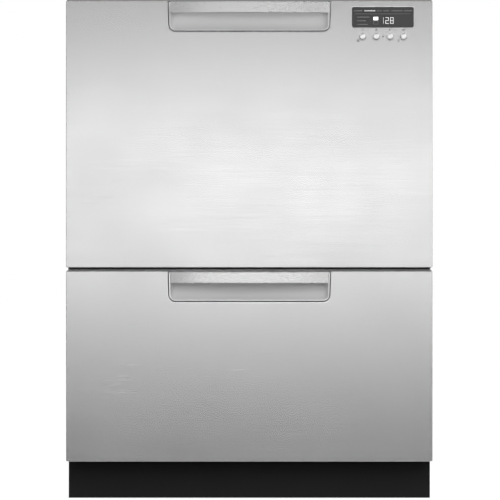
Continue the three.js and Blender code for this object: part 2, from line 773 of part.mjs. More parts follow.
// A wire bent to a U: up one side of the basket, along its floor and up the other side.
function bentWire(from, to, level) {
  const top = BASKET_TOP - WIRE + BITE;
  return outlineOf([
    [from, top],
    [from, level],
    [to, level],
    [to, top],
    [to - WIRE, top],
    [to - WIRE, level + WIRE],
    [from + WIRE, level + WIRE],
    [from + WIRE, top],
  ]);
}

function basket() {
  const half = WIRE / 2;
  const edge = BASKET_CORNER + WIRE;
  const lengthways = spread(LENGTH_WIRES, -BASKET_X + edge, BASKET_X - edge);
  const crossways = spread(CROSS_WIRES, BASKET_FRONT + edge, BASKET_BACK - edge);
  const longProfile = bentWire(BASKET_FRONT, BASKET_BACK, BASKET_Z);
  const crossLevel = BASKET_Z + WIRE - BITE;
  const crossProfile = bentWire(-BASKET_X, BASKET_X, crossLevel);
  const wires = [
    ...lengthways.map((x) => alongX(longProfile, x - half, x + half)),
    ...crossways.map((y) => alongY(crossProfile, y - half, y + half)),
  ];
  const rows = lengthways.slice(2, 2 + TINE_ROWS);
  const foot = BASKET_Z + WIRE - BITE;
  const tines = rows.flatMap((x) => crossways.map((y) => (
    block(x - half, x + half, y + half, y + half + WIRE, foot, foot + TINE_HEIGHT)
  )));
  return joined(wires, wireLoop(BASKET_TOP - WIRE), tines);
}

function cutleryBasket() {
  const low = BASKET_Z + 2 * WIRE - BITE + SEAT;
  const high = low + CUTLERY_HEIGHT;
  const right = BASKET_X - WIRE - SEAT;
  const left = right - CUTLERY_WIDTH;
  const back = BASKET_BACK - WIRE - SEAT;
  const front = back - CUTLERY_DEPTH;
  const corner = BASKET_CORNER - WIRE;
  const shape = roundedOutline(left, right, front, back, corner);
  const body = alongZ(shape, low, high, { curveSegments: 2 });
  const cells = 4;
  const pitch = (CUTLERY_WIDTH - CUTLERY_WALL) / cells;
  const hollows = Array.from({ length: cells }, (_, i) => block(
    left + CUTLERY_WALL + i * pitch + (i === 0 ? corner / 3 : 0),
    left + (i + 1) * pitch - (i === cells - 1 ? corner / 3 : 0),
    front + CUTLERY_WALL + (i % 3 === 0 ? corner / 4 : 0),
    back - CUTLERY_WALL - (i % 3 === 0 ? corner / 4 : 0),
    low + CUTLERY_WALL,
    high + 1,
  ));
  const slots = Array.from({ length: cells }, (_, i) => block(
    left + (i + 0.3) * pitch,
    left + (i + 0.7) * pitch,
    front - 1,
    back + 1,
    low + 14,
    high - 22,
  ));
  return cut(body, hollows, slots);
}

// A slotted shelf whose two clips go round the basket's left rim wire.
function cupRack() {
  const bore = WIRE * Math.SQRT1_2 + SEAT;
  const ring = bore + 2;
  const front = TUB_MIDDLE_Y - CUP_RACK_LENGTH / 2;
  const back = TUB_MIDDLE_Y + CUP_RACK_LENGTH / 2;
  const inner = RACK_AXIS_X + bore + 0.6;
  const outer = inner + CUP_RACK_WIDTH;
  const plate = block(
    inner,
    outer,
    front,
    back,
    RACK_AXIS_Z - CUP_RACK_THICK / 2,
    RACK_AXIS_Z + CUP_RACK_THICK / 2,
  );
  const slots = spread(5, front + 26, back - 26).map((y) => block(
    inner + 12,
    outer - 10,
    y - 8,
    y + 8,
    RACK_AXIS_Z - CUP_RACK_THICK,
    RACK_AXIS_Z + CUP_RACK_THICK,
  ));
  const spans = rackClipPlaces();
  const clips = spans.map((y) => rodAlongY(ring, y - 6, y + 6, RACK_AXIS_X, RACK_AXIS_Z, 10));
  const bores = spans.map((y) => rodAlongY(bore, y - 8, y + 8, RACK_AXIS_X, RACK_AXIS_Z, 10));
  return cut(joined(plate, clips), slots, bores);
}

function rackClipPlaces() {
  const edge = BASKET_CORNER + WIRE;
  const crossways = spread(CROSS_WIRES, BASKET_FRONT + edge, BASKET_BACK - edge);
  const middles = crossways.slice(1).map((y, i) => (y + crossways[i]) / 2);
  const reach = CUP_RACK_LENGTH / 2 - 8;
  const inside = middles.filter((y) => Math.abs(y - TUB_MIDDLE_Y) < reach);
  return [inside[0], inside[inside.length - 1]];
}

// ---- detergent dispenser on the inside of the tub's front wall ----
function dispenser() {
  const front = TUB_Y + TUB_WALL + SEAT;
  const back = front + DISPENSER_DEPTH;
  const left = DISPENSER_X - DISPENSER_WIDTH / 2;
  const right = DISPENSER_X + DISPENSER_WIDTH / 2;
  const high = -DISPENSER_DROP;
  const low = high - DISPENSER_HEIGHT;
  const shape = roundedOutline(left, right, low, high, 6);
  const body = alongY(shape, front, back);
  const pocketLeft = left + 8;
  const pocket = block(
    pocketLeft,
    pocketLeft + POCKET_WIDTH,
    back - POCKET_DEPTH,
    back + 1,
    low + 8,
    low + 8 + POCKET_HEIGHT,
  );
  const cap = rodAlongY(17, back - 1, back + 3, right - 26, (low + high) / 2, 16);
  const grip = block(right - 40, right - 12, back, back + 6, (low + high) / 2 - 2, (low + high) / 2 + 2);
  return joined(cut(body, pocket), cap, grip);
}

function dispenserDoor() {
  const back = TUB_Y + TUB_WALL + SEAT + DISPENSER_DEPTH;
  const left = DISPENSER_X - DISPENSER_WIDTH / 2 + 6;
  const low = -DISPENSER_DROP - DISPENSER_HEIGHT + 6;
  const axisY = back + SEAT + DOOR_BARREL;
  const plate = block(
    left,
    left + POCKET_WIDTH + 4,
    back + SEAT,
    back + SEAT + DOOR_THICK,
    low,
    low + POCKET_HEIGHT + 4,
  );
  const barrel = rodAlongX(DOOR_BARREL, left, left + POCKET_WIDTH + 4, axisY, low);
  const catchRib = block(
    left + POCKET_WIDTH / 2 - 8,
    left + POCKET_WIDTH / 2 + 12,
    back + SEAT + DOOR_THICK - BITE,
    back + SEAT + DOOR_THICK + 2,
    low + POCKET_HEIGHT - 4,
    low + POCKET_HEIGHT,
  );
  return joined(plate, barrel, catchRib);
}

// ---- runners: three channels nested in each other on each side of a tub ----
function channel(plate, open, half) {
  const sheet = plate < open ? RUNNER_SHEET : -RUNNER_SHEET;
  return outlineOf([
    [plate, -half],
    [open, -half],
    [open, -half + RUNNER_SHEET],
    [plate + sheet, -half + RUNNER_SHEET],
    [plate + sheet, half - RUNNER_SHEET],
    [open, half - RUNNER_SHEET],
    [open, half],
    [plate, half],
  ]);
}

function runnerMember(side, plate, open, half, slotReach) {
  const y0 = CABINET_Y + EDGE_HEM + RUNNER_SETBACK;
  const y1 = y0 + RUNNER_LENGTH;
  const flip = side * INNER_X;
  const place = (inward) => flip - side * inward;
  const body = alongY(channel(place(plate), place(open), half), y0, y1);
  const wall = [place(plate - 1), place(plate + RUNNER_SHEET + 1)].sort((a, b) => a - b);
  const slots = [0.12, 0.62].map((share) => block(
    wall[0],
    wall[1],
    y0 + share * RUNNER_LENGTH,
    y0 + (share + 0.24) * RUNNER_LENGTH,
    -slotReach,
    slotReach,
  ));
  return cut(body, slots);
}

function runnerOuter(side) {
  return runnerMember(side, SEAT, RUNNER_WIDTH - 1.6, RUNNER_HEIGHT / 2, 5);
}

function runnerMiddle(side) {
  const half = RUNNER_HEIGHT / 2 - RUNNER_SHEET - RUNNING;
  const plate = SEAT + RUNNER_SHEET + RUNNING;
  return runnerMember(side, plate, RUNNER_WIDTH - 1.6, half, 4);
}

function runnerInner(side) {
  const half = RUNNER_HEIGHT / 2 - 2 * (RUNNER_SHEET + RUNNING);
  const open = SEAT + 2 * (RUNNER_SHEET + RUNNING);
  const y0 = CABINET_Y + EDGE_HEM + RUNNER_SETBACK;
  const place = (inward) => side * (INNER_X - inward);
  const shape = channel(place(SEAT + RUNNER_WIDTH), place(open), half);
  const wall = [place(RUNNER_WIDTH + 1), place(RUNNER_WIDTH - RUNNER_SHEET - 1)].sort((a, b) => a - b);
  const slots = [0.12, 0.62].map((share) => block(
    wall[0],
    wall[1],
    y0 + share * RUNNER_LENGTH,
    y0 + (share + 0.24) * RUNNER_LENGTH,
    -3,
    3,
  ));
  return cut(alongY(shape, y0, y0 + RUNNER_LENGTH), slots);
}

// ---- lid and seal: flat under the cabinet's roof, just above the tub's rim ----
const LID_X = TUB_X + TUB_RIM_OUT - LID_MARGIN;
const LID_FRONT = CABINET_Y + LID_MARGIN;
const LID_BACK = TUB_BACK_Y + TUB_RIM_OUT - LID_MARGIN;
const LID_LOW = SEAT + SEAL_HEIGHT / 2;
const LUG_PLACES = [LID_FRONT + LUG_SETBACK, LID_BACK - LUG_SETBACK];

function sealOutline(inset) {
  return roundedOutline(
    -LID_X + inset,
    LID_X - inset,
    LID_FRONT + inset,
    LID_BACK - inset,
    LID_CORNER - inset,
  );
}

function lid() {
  const top = LID_LOW + LID_THICK;
  const body = alongZ(sealOutline(0), LID_LOW, top, { curveSegments: 3 });
  const tray = alongZ(sealOutline(SEAL_WIDTH * 3), LID_LOW + LID_SKIN, top + 1, { curveSegments: 2 });
  const ribs = spread(3, LID_FRONT + LID_RIB_SETBACK, LID_BACK - LID_RIB_SETBACK).map((y) => (
    block(-LID_X + SEAL_WIDTH, LID_X - SEAL_WIDTH, y - 3, y + 3, LID_LOW + 1, top - LID_RIB_DROP)
  ));
  const spine = block(
    -4,
    4,
    LID_FRONT + SEAL_WIDTH + 1,
    LID_BACK - SEAL_WIDTH - 1,
    LID_LOW + 0.8,
    top - LID_RIB_DROP - SHEET,
  );
  const step = cut(
    block(-SIDE_X, SIDE_X, CABINET_Y, BACK_Y, 0, SEAT + SEAL_HEIGHT + SEAT),
    alongZ(sealOutline(SEAL_WIDTH + SEAT), -1, LID_LOW + SEAL_HEIGHT, { curveSegments: 3 }),
  );
  const lugs = LUG_PLACES.flatMap((y) => [-1, 1].map((side) => {
    const ends = [side * (LID_X - 6), side * (INNER_X - SEAT)].sort((a, b) => a - b);
    return block(
      ends[0],
      ends[1],
      y - LUG_WIDTH / 2,
      y + LUG_WIDTH / 2,
      LID_LOW + SEAL_HEIGHT,
      LID_LOW + LID_THICK - 2,
    );
  }));
  return joined(cut(joined(cut(body, tray), ribs, spine), step), lugs);
}

function lidSeal() {
  const ring = sealOutline(0);
  ring.holes.push(new THREE.Path(sealOutline(SEAL_WIDTH).getPoints(3)));
  return alongZ(ring, SEAT, SEAT + SEAL_HEIGHT, { curveSegments: 3 });
}

// ---- cabinet ----
function lidGuides(side, rim) {
  const ends = [side * (LID_X + 1), side * (INNER_X + BITE)].sort((a, b) => a - b);
  return LUG_PLACES.flatMap((y) => [-1, 1].map((edge) => {
    const near = y + edge * (LUG_WIDTH / 2 + SEAT);
    const far = near + edge * GUIDE_RIB;
    return block(
      ends[0],
      ends[1],
      Math.min(near, far),
      Math.max(near, far),
      rim + LID_LOW,
      rim + LID_LOW + GUIDE_RISE,
    );
  }));
}

function cabinetSide(side) {
  const span = (a, b) => [side * a, side * b].sort((p, q) => p - q);
  const wallX = span(INNER_X, SIDE_X);
  const flangeX = span(SIDE_X - FLANGE, SIDE_X);
  const toe = outlineOf([
    [CABINET_Y, TOE_HEIGHT],
    [BASE_Y, TOE_HEIGHT],
    [BASE_Y, SIDE_BOTTOM],
    [REAR_FLANGE_Y, SIDE_BOTTOM],
    [REAR_FLANGE_Y, SIDE_TOP],
    [CABINET_Y, SIDE_TOP],
  ]);
  const wall = alongX(toe, wallX[0], wallX[1]);
  const topFlange = block(flangeX[0], flangeX[1], CABINET_Y, REAR_FLANGE_Y, SIDE_TOP - SHEET, SIDE_TOP);
  const rearFlange = block(
    flangeX[0],
    flangeX[1],
    REAR_FLANGE_Y - SHEET,
    REAR_FLANGE_Y,
    SERVICE_HEIGHT,
    SIDE_TOP,
  );
  const hemX = span(SIDE_X - 2 * SHEET, SIDE_X);
  const hem = block(hemX[0], hemX[1], CABINET_Y, CABINET_Y + EDGE_HEM, TOE_HEIGHT, SIDE_TOP);
  const creases = [LOWER_RIM - RUNNER_DROP, UPPER_RIM - RUNNER_DROP].flatMap((level) => [-1, 1].map(
    (edge) => {
      const middle = level + edge * (RUNNER_HEIGHT / 2 + BEAD_WIDTH);
      const outlet = side * (SIDE_X - BITE);
      const crest = side * (SIDE_X + BEAD_RISE);
      const shape = outlineOf([
        [outlet, middle - BEAD_WIDTH / 2],
        [outlet, middle + BEAD_WIDTH / 2],
        [crest, middle + BEAD_WIDTH / 2 - BEAD_SLOPE],
        [crest, middle - BEAD_WIDTH / 2 + BEAD_SLOPE],
      ]);
      return alongY(shape, CABINET_Y + 40, REAR_FLANGE_Y - 40);
    },
  ));
  const guides = [LOWER_RIM, UPPER_RIM].map((rim) => lidGuides(side, rim));
  return joined(wall, topFlange, rearFlange, hem, creases, guides.flat());
}

function cabinetBack() {
  const half = INNER_X - SEAT;
  const plate = block(-half, half, BACK_PANEL_Y, BACK_Y, SERVICE_HEIGHT, SIDE_TOP);
  const shelf = block(-half + FLANGE, half - FLANGE, SERVICE_Y, BACK_Y, SERVICE_HEIGHT, SERVICE_HEIGHT + SHEET);
  const beads = spread(3, -half / 2, half / 2).map((x) => alongZ(outlineOf([
    [x - BEAD_WIDTH / 2, BACK_PANEL_Y + BITE],
    [x - BEAD_WIDTH / 2 + BEAD_SLOPE, BACK_PANEL_Y - BEAD_RISE],
    [x + BEAD_WIDTH / 2 - BEAD_SLOPE, BACK_PANEL_Y - BEAD_RISE],
    [x + BEAD_WIDTH / 2, BACK_PANEL_Y + BITE],
  ]), SERVICE_HEIGHT + 60, SIDE_TOP - 60));
  return joined(plate, shelf, beads);
}

function cabinetRoof() {
  const half = SIDE_X;
  const low = ROOF_Z - SHEET;
  const plate = block(-half, half, CABINET_Y, BACK_Y, low, ROOF_Z);
  const frontHem = block(
    -INNER_X + FLANGE + SEAT,
    INNER_X - FLANGE - SEAT,
    CABINET_Y,
    CABINET_Y + SHEET,
    low - HEM_WIDTH,
    ROOF_Z,
  );
  const beads = spread(4, CABINET_Y + BEAD_SETBACK, BACK_Y - BEAD_SETBACK).map((y) => alongX(outlineOf([
    [y - BEAD_WIDTH / 2, ROOF_Z - BITE],
    [y + BEAD_WIDTH / 2, ROOF_Z - BITE],
    [y + BEAD_WIDTH / 2 - BEAD_SLOPE, UNIT_HEIGHT],
    [y - BEAD_WIDTH / 2 + BEAD_SLOPE, UNIT_HEIGHT],
  ]), -half + 50, half - 50));
  return joined(plate, frontHem, beads);
}

function midRail() {
  const front = CABINET_Y + SHEET;
  const back = front + MID_RAIL_DEPTH;
  const high = MID_RAIL_BOTTOM + MID_RAIL_HEIGHT;
  const half = INNER_X - SHEET - SEAT;
  const profile = outlineOf([
    [front, MID_RAIL_BOTTOM],
    [back, MID_RAIL_BOTTOM],
    [back, MID_RAIL_BOTTOM + SHEET],
    [front + SHEET, MID_RAIL_BOTTOM + SHEET],
    [front + SHEET, high - SHEET],
    [back, high - SHEET],
    [back, high],
    [front, high],
  ]);
  return alongX(profile, -half, half);
}

// ---- base, kickboard and feet ----
function footPlaces() {
  return {
    front_left: [-FOOT_X, BASE_Y + FOOT_INSET_Y],
    front_right: [FOOT_X, BASE_Y + FOOT_INSET_Y],
    rear_left: [-FOOT_X, SERVICE_Y - FOOT_INSET_Y],
    rear_right: [FOOT_X, SERVICE_Y - FOOT_INSET_Y],
  };
}

function baseTray() {
  const half = INNER_X - SEAT;
  const inner = half - RAIL_WIDTH;
  const top = PAN_LEVEL + PAN_SHEET;
  const hat = outlineOf([
    [-half, SIDE_BOTTOM],
    [-half + PAN_SHEET, SIDE_BOTTOM],
    [-half + PAN_SHEET, PAN_LEVEL],
    [-inner, PAN_LEVEL],
    [-inner, SIDE_BOTTOM],
    [-inner + PAN_SHEET, SIDE_BOTTOM],
    [-inner + PAN_SHEET, PAN_LEVEL],
    [inner - PAN_SHEET, PAN_LEVEL],
    [inner - PAN_SHEET, SIDE_BOTTOM],
    [inner, SIDE_BOTTOM],
    [inner, PAN_LEVEL],
    [half - PAN_SHEET, PAN_LEVEL],
    [half - PAN_SHEET, SIDE_BOTTOM],
    [half, SIDE_BOTTOM],
    [half, top],
    [-half, top],
  ]);
  const frame = alongY(hat, BASE_Y, SERVICE_Y);
  const frontWall = block(-half, half, BASE_Y, BASE_Y + PAN_SHEET, SIDE_BOTTOM, top);
  const rearWall = block(
    -half,
    half,
    SERVICE_Y - PAN_SHEET,
    SERVICE_Y,
    SIDE_BOTTOM,
    SERVICE_HEIGHT - SEAT,
  );
  const places = Object.values(footPlaces());
  const outer = FOOT_STEM_RADIUS + SEAT + BOSS_WALL;
  const bosses = places.map(([x, y]) => disc(outer, SIDE_BOTTOM, PAN_LEVEL + 1, x, y, 12));
  const bores = places.map(([x, y]) => disc(FOOT_STEM_RADIUS + SEAT, 0, UNIT_HEIGHT / 4, x, y, 12));
  return cut(joined(frame, frontWall, rearWall, bosses), bores);
}

function kickboard() {
  const half = FRONT_WIDTH / 2 - KICK_INSET;
  const top = TOE_HEIGHT - SEAT;
  const profile = outlineOf([
    [KICK_Y, KICK_GAP],
    [KICK_BACK_Y, KICK_GAP],
    [KICK_BACK_Y, KICK_GAP + SHEET],
    [KICK_Y + SHEET, KICK_GAP + SHEET],
    [KICK_Y + SHEET, top - SHEET],
    [KICK_BACK_Y, top - SHEET],
    [KICK_BACK_Y, top],
    [KICK_Y, top],
  ]);
  const board = alongX(profile, -half, half);
  const tabs = [-1, 1].map((side) => {
    const x = side * (FOOT_X - RAIL_WIDTH);
    return block(x - 12, x + 12, KICK_Y + SHEET - BITE, KICK_BACK_Y, SIDE_BOTTOM, PAN_LEVEL);
  });
  return joined(board, tabs);
}

function foot(x, y) {
  return turned([
    [0, 0],
    [FOOT_PAD_RADIUS, 0],
    [FOOT_PAD_RADIUS, FOOT_PAD_HEIGHT / 2],
    [FOOT_STEM_RADIUS + 3, FOOT_PAD_HEIGHT],
    [FOOT_STEM_RADIUS + 3, SIDE_BOTTOM - SEAT],
    [FOOT_STEM_RADIUS, SIDE_BOTTOM - SEAT],
    [FOOT_STEM_RADIUS, FOOT_STEM_TOP],
    [0, FOOT_STEM_TOP],
  ], x, y, 12);
}

// ---- service fittings in the rear recess ----
function inletValve() {
  const x = -SIDE_X + INLET_FROM_SIDE;
  const z = 66;
  const start = SERVICE_Y + SEAT;
  const plate = block(x - 26, x + 26, start, start + 3, z - 20, z + 20);
  const body = block(x - 16, x + 16, start + 2, start + 22, z - 14, z + 16);
  const spigot = turnedAlongY([
    [0, start + 20],
    [13, start + 20],
    [13, start + 26],
    [10.5, start + 27],
    [10.5, start + 46],
    [7, start + 46],
    [7, start + 30],
    [0, start + 30],
  ], x, z, 16);
  const coil = block(x - 11, x + 11, start + 5, start + 21, z + 15, z + 36);
  return joined(plate, body, spigot, coil);
}

function drainSpigot() {
  const x = SIDE_X - DRAIN_FROM_SIDE;
  const z = 70;
  const start = SERVICE_Y + SEAT;
  return turnedAlongY([
    [0, start],
    [22, start],
    [22, start + 4],
    [12, start + 4],
    [12, start + 18],
    [14, start + 20],
    [12, start + 26],
    [14, start + 28],
    [12, start + 34],
    [11, start + 40],
    [8, start + 40],
    [8, start + 6],
    [0, start + 6],
  ], x, z, 12);
}

function powerGland() {
  const x = SIDE_X - GLAND_FROM_SIDE;
  const z = 84;
  const start = SERVICE_Y + SEAT;
  return turnedAlongY([
    [0, start],
    [13, start],
    [13, start + 5],
    [10, start + 6],
    [8, start + 16],
    [4.2, start + 16],
    [4.2, start + 3],
    [0, start + 3],
  ], x, z, 12);
}

// ---- assembly ----
function placed(mesh, x, y, z) {
  mesh.position.set(x, y, z);
  return mesh;
}

function drawer(label, rim, bottom, top, holes) {
  const group = new THREE.Group();
  group.add(
    piece(`${label}_front_panel`, frontPanel(bottom, top, holes), brushedSteel),
    piece(`${label}_handle_recess`, handleRecess(top), brushedSteel),
    piece(`${label}_handle_bar`, handleBar(top), polishedSteel),
  );
  const inside = new THREE.Group();
  inside.position.z = rim;
  inside.add(
    piece(`${label}_tub`, tub(), tubPlastic),
    piece(`${label}_wash_motor`, washMotor(), blackPlastic),
    placed(piece(`${label}_spray_arm`, sprayArm(), greyPlastic), 0, TUB_MIDDLE_Y, 0),
    placed(piece(`${label}_filter_plate`, filterPlate(), polishedSteel), 0, TUB_MIDDLE_Y, 0),
    piece(`${label}_basket`, basket(), coatedWire),
    piece(`${label}_cutlery_basket`, cutleryBasket(), greyPlastic),
    piece(`${label}_cup_rack`, cupRack(), greyPlastic),
    piece(`${label}_dispenser`, dispenser(), greyPlastic),
    piece(`${label}_dispenser_door`, dispenserDoor(), lidPlastic),
    piece(`${label}_lid`, lid(), lidPlastic),
    piece(`${label}_lid_seal`, lidSeal(), sealRubber),
  );
  for (const [word, side] of [['left', -1], ['right', 1]]) {
    inside.add(
      placed(piece(`${label}_${word}_runner_outer`, runnerOuter(side), zincSteel), 0, 0, -RUNNER_DROP),
      placed(piece(`${label}_${word}_runner_middle`, runnerMiddle(side), zincSteel), 0, 0, -RUNNER_DROP),
      placed(piece(`${label}_${word}_runner_inner`, runnerInner(side), zincSteel), 0, 0, -RUNNER_DROP),
    );
  }
  group.add(inside);
  return group;
}

function cabinet() {
  const group = new THREE.Group();
  group.add(
    piece('cabinet_left_side', cabinetSide(-1), zincSteel),
    piece('cabinet_right_side', cabinetSide(1), zincSteel),
    piece('cabinet_back', cabinetBack(), zincSteel),
    piece('cabinet_roof', cabinetRoof(), zincSteel),
    piece('mid_rail', midRail(), zincSteel),
    piece('base_tray', baseTray(), zincSteel),
    piece('kickboard', kickboard(), darkPaint),
    piece('inlet_valve', inletValve(), brass),
    piece('drain_spigot', drainSpigot(), blackPlastic),
    piece('power_gland', powerGland(), blackPlastic),
  );
  for (const [corner, [x, y]] of Object.entries(footPlaces())) {
    group.add(piece(`foot_${corner}`, foot(x, y), blackPlastic));
  }
  return group;
}

function controls() {
  const group = new THREE.Group();
  group.add(
    piece('display_window', displayWindow(), smokedWindow),
    piece('control_module', controlModule(), blackPlastic),
  );
  buttonPlaces().forEach((x, i) => {
    group.add(piece(`button_${i + 1}`, button(x), polishedSteel));
  });
  return group;
}

const dishwasher = new THREE.Group();
dishwasher.add(
  cabinet(),
  drawer('lower', LOWER_RIM, LOWER_FRONT_BOTTOM, LOWER_FRONT_TOP, []),
  drawer('upper', UPPER_RIM, UPPER_FRONT_BOTTOM, UNIT_HEIGHT, controlHoles()),
  controls(),
);

export default dishwasher;
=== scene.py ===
"""Dressed model of a two-drawer dishwasher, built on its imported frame."""

import logging
import math
from dataclasses import dataclass, field
from enum import Enum
from typing import Any, Callable, Sequence

import bmesh
import bpy
import numpy as np
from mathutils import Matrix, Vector


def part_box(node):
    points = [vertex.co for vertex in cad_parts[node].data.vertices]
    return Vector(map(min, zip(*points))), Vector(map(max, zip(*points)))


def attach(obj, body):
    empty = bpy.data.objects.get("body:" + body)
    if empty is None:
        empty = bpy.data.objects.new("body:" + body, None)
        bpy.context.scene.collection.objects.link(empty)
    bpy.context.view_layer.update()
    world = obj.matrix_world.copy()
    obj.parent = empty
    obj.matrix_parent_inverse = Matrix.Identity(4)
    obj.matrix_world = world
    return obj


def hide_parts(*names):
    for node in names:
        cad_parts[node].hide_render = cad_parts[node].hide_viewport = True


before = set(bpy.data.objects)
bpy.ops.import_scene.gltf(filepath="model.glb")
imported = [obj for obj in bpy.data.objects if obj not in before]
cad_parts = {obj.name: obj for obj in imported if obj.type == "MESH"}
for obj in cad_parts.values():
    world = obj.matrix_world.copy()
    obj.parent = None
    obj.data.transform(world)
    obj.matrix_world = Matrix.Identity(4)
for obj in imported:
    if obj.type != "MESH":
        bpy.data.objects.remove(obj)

LOG = logging.getLogger("dishwasher")
MM = 0.001
TAU = 2.0 * math.pi

# Shared levels of the unit, in millimetres, as the frame has them.
FACE_Y = -280.5
HEM_Y = -254.5
BOARD_Y = -251.5
FRONT_WIDTH = 599.0
TUB_MIDDLE_Y = -11.7

# Plan of the basket, and levels that several wash parts share, counted from the tub's rim.
BASKET_HALF = 265.5
BASKET_FRONT = -225.7
BASKET_BACK = 210.3
TUB_FLOOR = -221.5
ARM_LIFT = 16.0
ARM_THICK = 10.0

# Results of a grain group, and the kind of function that draws an opening by its inset and its top inset.
GRAIN = ("Tone", "Roughness", "Normal")
Outline = Callable[[float, float], np.ndarray]


class Drawer(Enum):
    """The two wash drawers, each named as its parts are in the frame."""

    LOWER = "lower"
    UPPER = "upper"

    @property
    def body(self) -> str:
        """Name of the body that the drawer's fixed parts ride on."""
        return f"{self.value}_drawer"

    @property
    def bottom(self) -> float:
        """Height of the front's lower edge."""
        return {Drawer.LOWER: 63.8, Drawer.UPPER: 380.8}[self]

    @property
    def top(self) -> float:
        """Height of the front's upper edge."""
        return {Drawer.LOWER: 378.0, Drawer.UPPER: 820.0}[self]

    @property
    def rim(self) -> float:
        """Height of the tub's rim."""
        return {Drawer.LOWER: 366.0, Drawer.UPPER: 737.0}[self]

    def node(self, part: str) -> str:
        """Name of one of this drawer's nodes."""
        return f"{self.value}_{part}"


# ---------------------------------------------------------------- surfaces


@dataclass
class Surface:
    """Points in millimetres and the faces between them."""

    points: np.ndarray
    faces: list[list[int]]

    @classmethod
    def grid(cls, points: np.ndarray, loop: bool = False) -> "Surface":
        """Surface whose point (row, column) is a function of two parameters, each row closed to a ring.

        Args:
            points: Array of rows x columns x 3.
            loop: Whether the last row joins the first.

        Returns:
            Four-sided faces between neighbouring rows and columns.
        """
        rows, columns = points.shape[:2]
        index = np.arange(rows * columns).reshape(rows, columns)
        if loop:
            index = np.vstack([index, index[:1]])
        index = np.hstack([index, index[:, :1]])
        corners = [index[:-1, :-1], index[:-1, 1:], index[1:, 1:], index[1:, :-1]]
        return cls(points.reshape(-1, 3), np.stack(corners, -1).reshape(-1, 4).tolist())

    @classmethod
    def joined(cls, parts: Sequence["Surface"]) -> "Surface":
        """Several surfaces as one, with their points kept apart."""
        starts = np.cumsum([0] + [len(part.points) for part in parts]).tolist()
        faces = [[i + start for i in face] for part, start in zip(parts, starts) for face in part.faces]
        return cls(np.vstack([part.points for part in parts]), faces)

    def capped(self, columns: int) -> "Surface":
        """The same grid with its first and last rows closed by flat faces.

        Args:
            columns: Number of points in a row.

        Returns:
            A surface with two more faces.
        """
        last = len(self.points) - columns
        ends = [list(range(columns))[::-1], list(range(last, last + columns))]
        return Surface(self.points, self.faces + ends)


def lathe(profile: Sequence[Sequence[float]], axis: str, centre: Sequence[float], segments: int) -> Surface:
    """Profile turned round an axis.

    Each profile point (radius r, height h) becomes the circle centre + r cos t, r sin t at height h,
    with t from 0 to a full turn.

    Args:
        profile: Radius and height along the axis, from one pole to the other.
        axis: "y" or "z".
        centre: Point that the axis passes through; heights count from it.
        segments: Points in each circle.

    Returns:
        A surface closed round its axis.
    """
    shape = np.asarray(profile, float)
    turn = np.linspace(0.0, TAU, segments, endpoint=False)
    radial, height = shape[:, :1], np.repeat(shape[:, 1:2], segments, axis=1)
    first, second = radial * np.cos(turn), radial * np.sin(turn)
    order = {"z": (first, second, height), "y": (first, height, second)}[axis]
    return Surface.grid(np.stack(order, -1) + np.asarray(centre, float))


def sweep(path: np.ndarray, profile: np.ndarray, reference: Sequence[float], loop: bool = False) -> Surface:
    """Flat profile carried along a path.

    At each path point the tangent is the central difference of its neighbours. The profile's first
    axis lies along tangent x reference, its second along the cross product of that with the tangent.

    Args:
        path: Points of the path, n x 3.
        profile: Closed outline, m x 2.
        reference: A direction that the path never runs along.
        loop: Whether the path closes on itself.

    Returns:
        A closed tube, with flat ends where the path is open.
    """
    if loop:
        tangent = np.roll(path, -1, axis=0) - np.roll(path, 1, axis=0)
    else:
        tangent = np.gradient(path, axis=0)
    tangent /= np.linalg.norm(tangent, axis=1, keepdims=True)
    across = np.cross(tangent, np.asarray(reference, float))
    across /= np.linalg.norm(across, axis=1, keepdims=True)
    above = np.cross(across, tangent)
    sides = profile[None, :, :1] * across[:, None], profile[None, :, 1:] * above[:, None]
    tube = Surface.grid(path[:, None] + sides[0] + sides[1], loop)
    return tube if loop else tube.capped(len(profile))


def circle(radius: float, segments: int = 8) -> np.ndarray:
    """Outline of a round wire or rod: radius times (cos t, sin t)."""
    turn = np.linspace(0.0, TAU, segments, endpoint=False)
    return radius * np.stack([np.cos(turn), np.sin(turn)], -1)


def filleted(corners: Sequence[Sequence[float]], radius: float, steps: int = 5) -> np.ndarray:
    """Straight runs between corners, with each inner corner replaced by an arc.

    The arc is the quadratic curve (1-t)^2 A + 2t(1-t) C + t^2 B, where C is the corner and A and B lie
    a radius before and after it.

    Args:
        corners: Corner points, in two or three dimensions.
        radius: Length taken off each run at a corner.
        steps: Points in each arc.

    Returns:
        Points of the whole line.
    """
    place = np.asarray(corners, float)

    def toward(target: np.ndarray) -> np.ndarray:
        """Point a radius away from each inner corner, towards its neighbour."""
        run = target - place[1:-1]
        return (place[1:-1] + run / np.linalg.norm(run, axis=1, keepdims=True) * radius)[:, None]

    share = np.linspace(0.0, 1.0, steps)[None, :, None]
    start, middle, end = toward(place[:-2]), place[1:-1, None], toward(place[2:])
    arcs = (1 - share) ** 2 * start + 2 * share * (1 - share) * middle + share**2 * end
    return np.vstack([place[:1], arcs.reshape(-1, place.shape[1]), place[-1:]])


